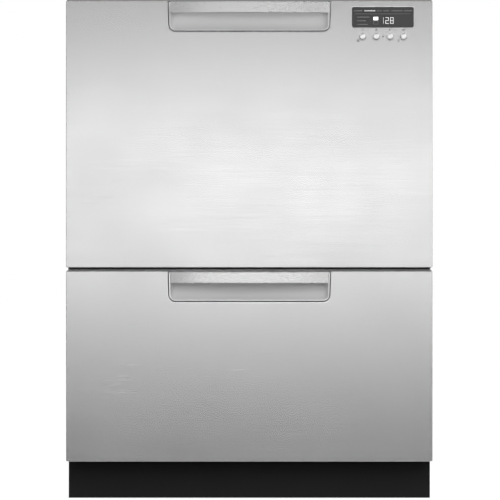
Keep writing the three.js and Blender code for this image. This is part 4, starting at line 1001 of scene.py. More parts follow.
@dataclass
class HandlePocket(DrawerPart):
    """Scooped pocket behind the handle bar, with a bright rim and a thin black ring of painted shade round
    it.
    """

    seat: float = 0.3
    gap: float = 1.1
    rim: float = 3.1
    rim_depth: float = 2.2
    lap: float = 0.2
    proud: float = 0.6
    edge: float = 0.4
    flange: float = 2.0
    back: float = -256.0
    wall: float = 1.6
    half: float = 129.3
    end_radius: float = 16.0
    rise: float = 18.5
    corner_reach: float = 26.0
    corner_lift: float = 5.0
    rings: int = 17

    def inner(self, inset: float) -> np.ndarray:
        """The opening's outline drawn in by an inset, with its sides held to the pocket's straight ends."""
        outline = HandleOpening(self.drawer.top).outline(inset)
        reach = self.half + max(self.rim - inset, 0.0)
        return np.stack([np.clip(outline[:, 0], -reach, reach), outline[:, 1]], -1)

    def frame(self, part: str, section: Sequence[tuple[float, float]], finish: Finish) -> None:
        """Builds a ring that follows the opening.

        Args:
            part: Name of the ring.
            section: Inset and depth behind the face of each corner of its section.
            finish: Its finish.
        """
        rows = np.array([standing(self.inner(inset), FACE_Y + depth) for inset, depth in section])
        self.piece(part, Surface.grid(rows, loop=True), finish, "front_steel", sharp=50.0)

    def bowl_rows(self) -> np.ndarray:
        """Rings round the outer wall, over the flange and down the bowl.

        With q from 0 at the mouth to 1 at the back, the depth share is 1 - (1 - q)^2 and the floor climbs by
        2 q (1 - q) rise / 4 + q^2 1.5 rise. The ends draw in over the last stretch by r (1 - sqrt(1 - u))^2,
        where u is the share of that stretch. The corner between floor and end opens out with depth.

        Returns:
            Rings of (x, y, z) points.
        """
        seat = HandleOpening(self.drawer.top).outline(self.seat)
        rows = [standing(seat, self.back), standing(seat, FACE_Y + self.flange)]
        deep = self.back - self.wall - FACE_Y
        ring = self.inner(self.rim - self.lap)
        low, high = ring[:, 1].min(), ring[:, 1].max()
        share = (ring[:, 1] - low) / (high - low)
        half = np.abs(ring[:, 0]).max()
        corner = 1.0 - np.clip((half - np.abs(ring[:, 0])) / self.corner_reach, 0.0, 1.0)
        for q in np.linspace(0.05, 1.0, self.rings):
            depth = deep * (1 - (1 - q) ** 2)
            climb = 2 * q * (1 - q) * self.rise / 4 + q * q * self.rise * 1.5
            run = max(0.0, (depth - deep + self.end_radius) / self.end_radius)
            draw = self.end_radius * (1 - math.sqrt(max(0.0, 1 - run))) ** 2
            lift = (climb + q * self.corner_lift * corner) * (1 - share)
            place = np.stack([ring[:, 0] * (half - draw) / half, ring[:, 1] + lift], -1)
            rows.append(standing(place, FACE_Y + depth))
        return np.array(rows)

    def build(self) -> None:
        """Builds the bowl as one closed shell, then its rim and the black ring of painted shade round the
        rim.
        """
        rows = self.bowl_rows()
        bowl = Surface.grid(rows).capped(rows.shape[1])
        self.piece("handle_pocket", bowl, RECESS_STEEL, "front_steel", "handle_recess", sharp=50.0)
        out, into, front, e, deep = self.gap, self.rim, -self.proud, self.edge, self.rim_depth
        outer = [(out, deep), (out, front + e), (out + 0.3 * e, front + 0.3 * e), (out + e, front)]
        inner = [(into - e, front), (into - 0.3 * e, front + 0.3 * e), (into, front + e), (into, deep)]
        self.frame("handle_rim", outer + inner, RIM_STEEL)
        # Painted shade: a black rubber ring set in the gap round the rim, darkening the seam where there is
        # only shadow.
        shade_ring_section = [(0.05, deep), (0.05, 0.7), (0.25, 0.5), (out, 0.5), (out + 0.1, deep)]
        self.frame("handle_gasket", shade_ring_section, SEAL_AND_SHADE_RUBBER)


@dataclass
class HandleBar(DrawerPart):
    """Bar across the top of the recess, bowed forward in plan."""

    half: float = 129.0
    height: float = 18.5
    thick: float = 9.0
    drop: float = 4.5
    end_proud: float = 1.0
    crest: float = -292.5
    edge: float = 0.9
    stations: int = 41
    end_steps: tuple[float, ...] = (0.0, 0.2, 0.5, 0.9)
    end_scales: tuple[float, float] = (0.93, 0.985)

    def build(self) -> None:
        """Carries a rounded rectangle along the bow.

        The bow's depth is crest + (end - crest) (x / half)^2, with x along the bar. The section's corners
        are quarter circles, and the last rows draw in to soften the ends.
        """
        top = self.drawer.top - self.drop
        end = FACE_Y - self.end_proud
        *steps, last = self.end_steps
        middle = np.linspace(-self.half + last, self.half - last, self.stations)
        left = -self.half + np.array(steps)
        x = np.concatenate([left, middle, -left[::-1]])
        bow = self.crest + (end - self.crest) * (x / self.half) ** 2
        shrink = np.ones(len(x))
        shrink[[0, -1]], shrink[[1, -2]] = self.end_scales
        section = held(rounded_rectangle(0.0, self.thick, -self.height, 0.0, self.edge, 6))
        centre = np.array([self.thick / 2, -self.height / 2])
        shape = (section - centre)[None] * shrink[:, None, None] + centre
        along = np.repeat(x[:, None], len(section), 1)
        points = np.stack([along, bow[:, None] + shape[..., 0], top + shape[..., 1]], -1)
        bar = Surface.grid(points).capped(len(section))
        self.piece("handle_bow", bar, BAR_STEEL, "handle_steel", "handle_bar", sharp=40.0)


# ---------------------------------------------------------------- controls


SEGMENTS = {"1": "bc", "2": "abged", "8": "abcdefg"}
WORD_ROW = 25.6
CENTRE_BOX = (34.8, 42.4)
BUTTON_FACE = [(0.0, 0.10), (1.6, 0.07), (3.0, 0.0), (3.5, 0.06), (4.1, 0.30), (4.6, 0.75), (4.85, 1.25),
               (4.9, 1.8), (4.9, 3.1), (6.0, 3.1), (6.0, 4.0)]


@dataclass
class ControlPanel:
    """Smoked window with its lit marks, and four domed buttons."""

    window_x: float = 218.0
    window_z: float = 789.8
    width: float = 100.0
    height: float = 32.0
    corner: float = 2.5
    seat: float = 0.3
    recess: float = 0.7
    thick: float = 1.6
    bevel: float = 0.25
    mark_depth: float = 0.55
    mark_thick: float = 0.2
    mark_edge: float = 0.08
    tick: float = 0.9
    tick_pitch: float = 1.7
    icon_rise: float = 10.9
    button_x: float = 185.0
    button_z: float = 758.2
    button_proud: float = 1.6
    pitch: float = 22.3
    radius: float = 4.9
    stem: float = 2.6
    count: int = 4
    ink: float = 0.04

    def pane(self, inset: float, seat: float = 0.0) -> np.ndarray:
        """Window outline drawn in by an inset; with a seat, the opening round it.

        Args:
            inset: Distance inside the outline.
            seat: Width of the gap round the window.

        Returns:
            Points of the outline.
        """
        half, rise = self.width / 2 + seat - inset, self.height / 2 + seat - inset
        return rounded_rectangle(self.window_x - half, self.window_x + half, self.window_z - rise,
                                 self.window_z + rise, max(self.corner - inset, 0.3), 5)

    def openings(self, front: FrontPanel) -> list[np.ndarray]:
        """Lip rings of the window and of the four buttons."""
        def hole(x: float) -> Outline:
            """Outline function of one button hole."""
            return lambda inset, top_inset: circle(self.radius + self.seat - inset, 32) + [x, self.button_z]

        window = front.lip_rings(lambda inset, top_inset: self.pane(inset, self.seat))
        return [window] + [front.lip_rings(hole(x)) for x in self.places()]

    def places(self) -> list[float]:
        """Button centres along X."""
        return [self.button_x + i * self.pitch for i in range(self.count)]

    def window(self) -> None:
        """Builds the smoked window, set a little back."""
        surface = bevelled_plate(self.pane(0.0), self.pane(self.bevel), FACE_Y + self.recess,
                                 FACE_Y + self.thick, self.bevel)
        Piece("smoked_window_plate", surface, SMOKED_WINDOW, Drawer.UPPER.body, "window_plastic",
              "display_window").build()

    def bar(self, x0: float, x1: float, z0: float, z1: float) -> Surface:
        """Thin mark, in window millimetres from its lower left corner."""
        left, low = self.window_x - self.width / 2, self.window_z - self.height / 2
        front = FACE_Y + self.mark_depth
        far = (left + x1, front + self.mark_thick, low + z1)
        return slab((left + x0, front, low + z0), far, self.mark_edge)

    def word(self, x0: float, x1: float, z: float, high: float) -> list[Surface]:
        """Row of short upright ticks that stands for a printed word without being one.

        Args:
            x0: Left end, in window millimetres.
            x1: Right end.
            z: Lower edge.
            high: Height of the tallest tick.

        Returns:
            One surface for each tick.
        """
        count = max(2, round((x1 - x0) / self.tick_pitch))
        starts = np.linspace(x0, x1 - self.tick, count).tolist()
        highs = (high, high * 0.75, high * 0.9)
        return [self.bar(x, x + self.tick, z, z + highs[i % 3]) for i, x in enumerate(starts)]

    def digit(self, mark: str, x: float, thick: float = 0.85) -> Surface:
        """Seven-segment figure, each segment a thin bar.

        Args:
            mark: Figure, one of those in SEGMENTS.
            x: Its left edge, in window millimetres.
            thick: Width of a segment.

        Returns:
            All its segments as one surface.
        """
        wide, high, z = 5.4, 10.4, 5.4
        middle = z + high / 2
        right, left = (x + wide - thick, x + wide), (x, x + thick)
        across, lower, upper = (x, x + wide), (z, middle), (middle, z + high)
        spans = {
            "a": (*across, z + high - thick, z + high), "d": (*across, z, z + thick),
            "g": (*across, middle - thick / 2, middle + thick / 2),
            "f": left + upper, "e": left + lower, "b": right + upper, "c": right + lower,
        }
        return Surface.joined([self.bar(*spans[letter]) for letter in SEGMENTS[mark]])

    def marks(self) -> None:
        """Builds the lit figures and the rows of generic ticks."""
        left, right = CENTRE_BOX
        lit = [self.bar(left, right, 11.2, 16.4)]
        glow = [self.digit("1", 46.0, 0.5), self.digit("2", 54.4), self.digit("8", 62.2)]
        glow += self.word(20.5, 37.5, WORD_ROW, 2.2)
        dim = [self.bar(5.0, 95.0, 21.3, 21.7)]
        for x0, x1 in ((4.0, 16.0), (40.5, 48.0), (51.5, 60.5), (64.5, 82.0), (85.5, 97.0)):
            dim += self.word(x0, x1, WORD_ROW, 2.0)
        for span, z in ((19.0, 15.4), (13.0, 9.4), (16.0, 3.4)):
            dim += self.word(9.0, 9.0 + span, z, 1.8)
        dim += [self.bar(left, right, 9.4, 9.8), self.bar(left, right, 4.6, 5.0)]
        dim += [self.bar(left, 35.2, 4.6, 9.8), self.bar(42.0, right, 4.6, 9.8)]
        for name, parts, finish in (
            ("glowing", glow, GLOWING_MARK), ("lit", lit, LIT_MARK), ("dim", dim, DIM_MARK),
        ):
            Piece(f"window_{name}_marks", Surface.joined(parts), finish, Drawer.UPPER.body,
                  "window_plastic").build()

    def icons(self) -> None:
        """Small generic marks round the buttons: discs, rings and a dot."""
        def printed(x: float, z: float, outer: float, inner: float = 0.0) -> Surface:
            """Flat disc printed on the face, or a ring if it has an inner radius."""
            shape = [(inner, 0.0), (outer, 0.0), (outer, -self.ink), (inner, -self.ink)]
            return lathe(shape + shape[:1] if inner else shape, "y", (x, FACE_Y, z), 20)

        level, above = self.button_z, self.button_z + self.icon_rise
        a, b, c, d = self.places()
        parts = [
            printed(a, above, 1.5, 1.0), printed(b, above, 1.3), printed(b + 1.6, above, 0.7),
            printed(c, above, 1.3), printed(d - 0.6, above, 1.3), printed(d + 1.9, above, 0.9, 0.5),
            printed((b + c) / 2, level, 1.35), printed(a - 7.4, level - 6.7, 2.2, 1.4),
            printed(a - 7.4, level - 6.7, 0.8), printed(d - 7.6, level - 6.5, 1.9, 1.3),
        ]
        Piece("printed_icons", Surface.joined(parts), PRINTED_MARK, Drawer.UPPER.body, "front_steel").build()

    def buttons(self) -> None:
        """Turns each button: a shallow dish with a rounded shoulder, a collar and a stem."""
        front = FACE_Y - self.button_proud
        for number, x in enumerate(self.places(), 1):
            node = f"button_{number}"
            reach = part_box(node)[1][1] / MM - front
            shape = BUTTON_FACE + [(self.stem, 4.0), (self.stem, reach), (0.0, reach)]
            Piece(f"domed_{node}", lathe(shape, "y", (x, front, self.button_z), 40), BUTTON_CHROME, node,
                  "button_chrome", node).build()

    def build(self) -> None:
        """Builds window, marks, icons and buttons."""
        self.window()
        self.marks()
        self.icons()
        self.buttons()


# ---------------------------------------------------------------- wash drawer


@dataclass
class Tub(DrawerPart):
    """Moulded tub: rounded box with an out-turned rim, a round sump and four pads for the basket."""

    half: float = 283.0
    front: float = -251.2
    back: float = 227.8
    wall: float = 3.5
    corner: float = 42.0
    corner_steps: int = 13
    floor_radius: float = 22.0
    depth: float = 225.0
    rim_out: float = 6.0
    rim_height: float = 9.0
    sump: float = 100.0
    sump_depth: float = 28.0
    shaft: float = 9.0
    pad: float = 18.0
    pad_low: float = -222.5
    pad_top: float = -188.8
    pad_edge: float = 1.5
    rib_half: float = 1.5
    rib_edge: float = 0.5
    rib_bite: float = 0.4
    rib_reach: float = 217.0
    rib_inset: float = 84.0
    back_rib_low: float = -203.0
    back_rib_top: float = -8.6
    back_rib_depth: float = 5.0
    floor_rib_depth: float = 7.6

    def rectangle(self, inset: float, height: float, extra: float = 0.0) -> np.ndarray:
        """Ring of the tub's plan at one height, with both sides and the back moved out by an extra.

        Args:
            inset: Distance inside the plan.
            height: Height from the rim.
            extra: Distance that sides and back move out.

        Returns:
            The ring's points.
        """
        radius = max(self.corner - inset, 2.0)
        outline = rounded_rectangle(-self.half - extra + inset, self.half + extra - inset,
                                    self.front + inset, self.back + extra - inset, radius, self.corner_steps)
        return lying(outline, self.drawer.rim + height)

    def round_ring(self, radius: float, height: float) -> np.ndarray:
        """Circle with as many points as the plan's ring, each at its own ring point's bearing."""
        ring = self.rectangle(60.0, height)
        bearing = np.arctan2(ring[:, 1] - TUB_MIDDLE_Y, ring[:, 0])
        return np.stack([radius * np.cos(bearing), TUB_MIDDLE_Y + radius * np.sin(bearing), ring[:, 2]], -1)

    def wall_rings(self, inset: float, top: float) -> list[np.ndarray]:
        """Rings up one side of the wall: a quarter circle from the floor, then straight to the top.

        Args:
            inset: Distance inside the tub's outside.
            top: Height of the last ring from the rim.

        Returns:
            The rings, from the floor up.
        """
        radius = self.floor_radius - inset
        base = -self.depth + inset
        rings = [self.rectangle(inset + radius * (1 - math.sin(a)), base + radius * (1 - math.cos(a)))
                 for a in np.linspace(0.0, TAU / 4, 7)]
        return rings + [self.rectangle(inset, top)]

    def build(self) -> None:
        """Builds the shell as a closed band of rings, with pads and ribs joined to it.

        Rows run from the shaft hole out under the sump, up the outside, over the rim, down the inside, and
        back over the floor and the sump to the shaft hole.
        """
        low, out, edge, round_out = -self.depth, self.rim_out, -self.rim_height, self.sump + self.wall
        deep, floor = low - self.sump_depth, low + self.wall
        under = ((self.shaft, deep), (round_out - 3, deep), (round_out, deep + 3), (round_out, low - 2),
                 (round_out + 2, low))
        rim = ((0.2, edge - 0.3), (0.9, edge), (1.0, edge + 0.6), (1.0, -1.2), (0.9, -0.3), (0.75, 0.0))
        lip = ((1.2, 0.0), (0.3, -0.4), (0.0, -1.4))
        within = ((self.sump + 3, floor), (self.sump + 0.8, floor - 0.8), (self.sump, floor - 3),
                  (self.sump, floor - self.sump_depth + 4), (self.sump - 4, floor - self.sump_depth),
                  (self.shaft, floor - self.sump_depth))
        rows = [self.round_ring(radius, height) for radius, height in under]
        rows += self.wall_rings(0.0, edge - 1.5)
        rows += [self.rectangle(0.0, height, out * share) for share, height in rim]
        rows += [self.rectangle(self.wall - back, height) for back, height in lip]
        rows += self.wall_rings(self.wall, -12.0)[::-1]
        rows += [self.round_ring(radius, height) for radius, height in within]
        shell = Surface.joined([Surface.grid(np.array(rows), loop=True)] + self.ribs())
        self.piece("tub_shell", shell, TUB_PLASTIC, "tub_plastic", "tub", sharp=40.0)

    def ribs(self) -> list[Surface]:
        """Pads on the floor's corners, ribs up the back and ribs under the floor."""
        z, half, thin = self.drawer.rim, self.pad / 2, self.rib_half
        parts = []
        for x in (half - BASKET_HALF, BASKET_HALF - half):
            for y in (BASKET_FRONT + half, BASKET_BACK - half):
                near, far = (x - half, y - half, z + self.pad_low), (x + half, y + half, z + self.pad_top)
                parts.append(slab(near, far, self.pad_edge))
        for x in np.linspace(-self.half + self.rib_inset, self.half - self.rib_inset, 5):
            near = (x - thin, self.back - self.rib_bite, z + self.back_rib_low)
            far = (x + thin, self.back + self.back_rib_depth, z + self.back_rib_top)
            parts.append(slab(near, far, self.rib_edge))
        inner, low = self.sump - self.wall, -self.depth
        near, far = (inner, -thin, low - self.floor_rib_depth), (self.rib_reach, thin, low + self.rib_bite)
        beam = slab(near, far, self.rib_edge)
        for angle in (np.arange(8) + 0.5) * TAU / 8:
            sine, cosine = math.sin(angle), math.cos(angle)
            turned = beam.points @ np.array([[cosine, sine, 0.0], [-sine, cosine, 0.0], [0.0, 0.0, 1.0]])
            parts.append(Surface(turned + np.array([0.0, TUB_MIDDLE_Y, z]), beam.faces))
        return parts


@dataclass
class Basket(DrawerPart):
    """Basket of round coated wires: bent wires both ways, tines and a loop round the top."""

    half: float = BASKET_HALF
    front: float = BASKET_FRONT
    back: float = BASKET_BACK
    floor: float = -188.5
    top: float = -88.5
    wire: float = 4.0
    thin_wire: float = 3.0
    lap: float = 0.6
    bend: float = 12.0
    corner: float = 26.0
    length_wires: int = 7
    cross_wires: int = 5
    tine_height: float = 62.0
    tine_offset: float = 4.0
    tine_rows: tuple[int, int] = (2, 5)

    def bent(self, lengthways: bool, place: float, gauge: float) -> Surface:
        """Wire bent to a U: up one side, along the floor and up the other side.

        Args:
            lengthways: Whether it runs along Y.
            place: Its x if it runs along Y, and its y if not.
            gauge: Its thickness.

        Returns:
            The wire as a closed tube.
        """
        level = self.drawer.rim + self.floor + (gauge / 2 if lengthways else gauge / 2 + self.wire - self.lap)
        high = self.drawer.rim + self.top - self.wire / 2
        ends = (self.front, self.back) if lengthways else (-self.half, self.half)
        a, b = ends[0] + self.wire / 2, ends[1] - self.wire / 2
        line = ((a, high), (a, level), (b, level), (b, high))
        corners = [(place, end, z) if lengthways else (end, place, z) for end, z in line]
        reference = (1.0, 0.0, 0.0) if lengthways else (0.0, 1.0, 0.0)
        return sweep(filleted(corners, self.bend), circle(gauge / 2), reference)

    def loop(self, level: float) -> Surface:
        """Wire all round the basket at one height."""
        inset = self.wire / 2
        outline = rounded_rectangle(-self.half + inset, self.half - inset, self.front + inset,
                                    self.back - inset, self.corner - inset, 7)
        return sweep(lying(outline, self.drawer.rim + level), circle(inset), (0.0, 0.0, 1.0), loop=True)

    def tine(self, x: float, y: float) -> Surface:
        """Upright wire with a domed top."""
        base = self.drawer.rim + self.floor + self.wire / 2
        r, tall = self.wire / 2 - 0.2, self.tine_height
        profile = [(0.0, 0.0), (r, 0.0), (r, tall - 1.4), (r * 0.7, tall - 0.4), (0.0, tall)]
        return lathe(profile, "z", (x, y, base), 7)

    def build(self) -> None:
        """Builds every wire and joins them in one piece; two thin wires lie between thick ones."""
        edge = self.corner + self.wire
        along = np.linspace(-self.half + edge, self.half - edge, self.length_wires)
        across = np.linspace(self.front + edge, self.back - edge, self.cross_wires)
        step_x, step_y = along[1] - along[0], across[1] - across[0]
        parts = [self.loop(self.top - self.wire / 2)]
        parts += [self.bent(True, x, self.wire) for x in along]
        parts += [self.bent(False, y, self.wire) for y in across]
        for third in (1 / 3, 2 / 3):
            parts += [self.bent(True, x + third * step_x, self.thin_wire) for x in along[:-1]]
            parts += [self.bent(False, y + third * step_y, self.thin_wire) for y in across[:-1]]
        stations = np.concatenate([across, across[:-1] + step_y / 3, across[:-1] + 2 * step_y / 3])
        parts += [self.tine(x, y + self.tine_offset) for x in along[slice(*self.tine_rows)] for y in stations]
        self.piece("wire_basket", Surface.joined(parts), WIRE_COATING, "wire_coating", "basket", sharp=60.0)


@dataclass
class SprayArm(DrawerPart):
    """Turning arm: two curved blades, a hub with a cap, and six nozzles."""

    reach: float = 196.0
    tip: float = 3.4
    hub: float = 30.0
    bore: float = 10.0
    bore_low: float = 6.2
    thick: float = ARM_THICK
    lift: float = ARM_LIFT
    swing: float = 15.0
    bend: float = 1.35
    half: float = 13.0
    flare: float = 4.5
    roundness: float = 0.6
    stations: int = 49
    nozzles: tuple[float, ...] = (0.35, 0.58, 0.84)

    def blades(self) -> Surface:
        """Lens-shaped section carried along a curved middle line.

        With s from -1 to 1 along the arm, the middle line swings sideways by 15 sin(1.35 s) / sin(1.35). Half
        the width is 13 + 4.5 s^2 and half the height 5, both narrowed near the tips by sqrt(1 - s^16), and
        the section is a superellipse.
        """
        s = np.linspace(-1.0, 1.0, self.stations)
        s = np.sign(s) * (1 - (1 - np.abs(s)) ** 1.4)
        swing = self.swing * np.sin(self.bend * s) / math.sin(self.bend)
        narrowed = np.sqrt(np.clip(1 - np.abs(s) ** 16, 0.0, 1.0))
        width = (self.half + self.flare * s * s) * narrowed
        turn = np.linspace(0.0, TAU, 20, endpoint=False)
        side, up = (np.sign(w) * np.abs(w) ** self.roundness for w in (np.cos(turn), np.sin(turn)))
        middle = self.drawer.rim + TUB_FLOOR + self.lift + self.thick / 2
        x = np.repeat((s * (self.reach - self.tip))[:, None], len(turn), 1)
        y = TUB_MIDDLE_Y + swing[:, None] + width[:, None] * side[None]
        z = middle + (self.thick / 2 * narrowed)[:, None] * up[None]
        return Surface.grid(np.stack([x, y, z], -1))

    def build(self) -> None:
        """Builds blades, hub and nozzles."""
        base = self.drawer.rim + TUB_FLOOR
        wide, low, high = self.hub, self.lift, self.lift + self.thick
        hub = [
            (self.bore, self.bore_low), (wide * 0.68, self.bore_low), (wide * 0.78, 8.5), (wide, low),
            (wide, high - 2), (wide - 2, high), (wide * 0.62, high + 4.4), (wide * 0.5, high + 5.6),
            (8.0, high + 6.0), (0.0, high + 6.0), (0.0, high - 6), (self.bore, high - 6),
            (self.bore, self.bore_low),
        ]
        nozzle = [(0.0, high - 1.5), (6.0, high - 1.5), (5.6, high + 1.0), (4.2, high + 2.4),
                  (2.4, high + 2.4), (2.0, high + 0.6), (0.0, high + 0.6)]
        parts = [self.blades(), lathe(hub, "z", (0.0, TUB_MIDDLE_Y, base), 48)]
        for share in self.nozzles:
            for side in (-1, 1):
                y = TUB_MIDDLE_Y + side * self.swing * math.sin(self.bend * share)
                parts.append(lathe(nozzle, "z", (side * share * self.reach, y, base), 20))
        self.piece("spray_blades", Surface.joined(parts), GREY_PLASTIC, "grey_plastic", "spray_arm",
                   body=self.drawer.node("spray_arm"), sharp=45.0)


@dataclass
class WashMotor(DrawerPart):
    """Turned motor housing under the sump, with its outlet and cooling ribs."""

    top: float = -253.3
    radius: float = 62.0
    height: float = 36.0
    groove: float = 1.2

    def build(self) -> None:
        """Turns the housing and the outlet, both by (radius, height) from the housing's foot and middle."""
        r, neck = self.radius, self.radius - self.groove
        top = self.drawer.rim + self.top
        low = top - self.height
        shaft = self.drawer.rim + TUB_FLOOR + ARM_LIFT + ARM_THICK / 2
        foot = [
            (0.0, 0), (r * 0.55, 0), (r * 0.60, 1.5), (r * 0.62, 5), (r - 5, 7), (r - 1.5, 8.5), (r, 11),
            (r, 15), (neck, 15.6), (neck, 17.4), (r, 18), (r, 21), (neck, 21.6), (neck, 23.4), (r, 24),
        ]
        head = [(r, top - 8), (r + 7.5, top - 6), (r + 8.6, top - 5), (r + 8.6, top - 0.8), (r + 7.8, top),
                (8.0, top), (8.0, shaft - 1), (7.2, shaft), (0.0, shaft)]
        spout = [(0.0, r - 6), (11.0, r - 6), (11.0, r + 24), (12.4, r + 25), (12.4, r + 27), (10.8, r + 30),
                 (10.0, r + 34), (7.5, r + 34), (7.5, r + 12), (0.0, r + 12)]
        housing = lathe([(wide, low + z) for wide, z in foot] + head, "z", (0.0, TUB_MIDDLE_Y, 0.0), 64)
        outlet = lathe(spout, "y", (0.0, TUB_MIDDLE_Y, low + self.height / 2), 28)
        motor = Surface.joined([housing, outlet])
        self.piece("motor_housing", motor, BLACK_PLASTIC, "black_plastic", "wash_motor")


@dataclass
class WashDrawer(DrawerPart):
    """One drawer: front, handle, tub, basket and wash parts."""

    def build(self) -> None:
        """Builds the drawer's pieces in order and dresses the solids that stay."""
        for part in (FrontPanel, HandlePocket, HandleBar, Tub, Basket, SprayArm, WashMotor):
            part(self.drawer).build()
        for finish, parts in (
            (FILTER_STEEL, ("filter_plate",)),
            (GREY_PLASTIC, ("cutlery_basket", "cup_rack", "dispenser")),
            (LID_PLASTIC, ("dispenser_door", "lid")),
            (SEAL_AND_SHADE_RUBBER, ("lid_seal",)),
            (RUNNER_ZINC, [f"{side}_runner_{member}" for side in ("left", "right")
                           for member in ("outer", "middle", "inner")]),
        ):
            for part in parts:
                dress(self.drawer.node(part), finish)


# ---------------------------------------------------------------- cabinet


def dress(node: str, finish: Finish) -> None:
    """Puts a finish on a solid of the frame.

    Args:
        node: Name of the solid.
        finish: Finish that its slots take.
    """
    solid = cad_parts[node]
    if not solid.material_slots:
        solid.data.materials.append(finish.material())
    for place in solid.material_slots:
        place.material = finish.material()
    LOG.info("%s: %s", node, finish.name)


@dataclass
class Cabinet:
    """Sheet metal shell round the drawers, its base, feet and service fittings."""

    pad_flat: float = 3.4
    stem: float = 4.6
    stem_low: float = 12.6

    def feet(self) -> None:
        """Turns each levelling foot: pad, neck and stem."""
        for corner in ("front_left", "front_right", "rear_left", "rear_right"):
            node = f"foot_{corner}"
            low, high = (np.array(value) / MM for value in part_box(node))
            centre = (low + high) / 2
            wide, tall = (high[0] - low[0]) / 2, high[2]
            profile = [
                (0.0, 0.0), (wide - 1.0, 0.0), (wide, 1.0), (wide, self.pad_flat), (wide - 1.4, 5.0),
                (wide * 0.55, 6.6), (wide * 0.42, 8.6), (wide * 0.40, 12.0), (self.stem, self.stem_low),
                (self.stem, tall - 1.0), (3.8, tall), (0.0, tall),
            ]
            foot = lathe(profile, "z", (centre[0], centre[1], 0.0), 36)
            Piece(f"levelling_{node}", foot, BLACK_PLASTIC, node, "black_plastic", node).build()

    def build(self) -> None:
        """Dresses the shell and builds the feet."""
        for finish, nodes in (
            (SHEET_ZINC, ("cabinet_left_side", "cabinet_right_side", "cabinet_back", "cabinet_roof",
                          "mid_rail", "base_tray")),
            (KICK_PAINT, ("kickboard",)),
            (CAST_BRASS, ("inlet_valve",)),
            (BLACK_PLASTIC, ("control_module", "drain_spigot", "power_gland")),
        ):
            for node in nodes:
                dress(node, finish)
        self.feet()


# ---------------------------------------------------------------- studio


STUDIO_FRONT = -0.28
WHITE = (1.0, 1.0, 1.0, 1.0)


def flat(half: float, start: Sequence[float], end: Sequence[float]) -> Surface:
    """Rectangle in metres that reaches half to both sides of X = 0, from one (y, z) to another."""
    return Surface(np.array([(-half, *start), (half, *start), (half, *end), (-half, *end)]), [[0, 1, 2, 3]])


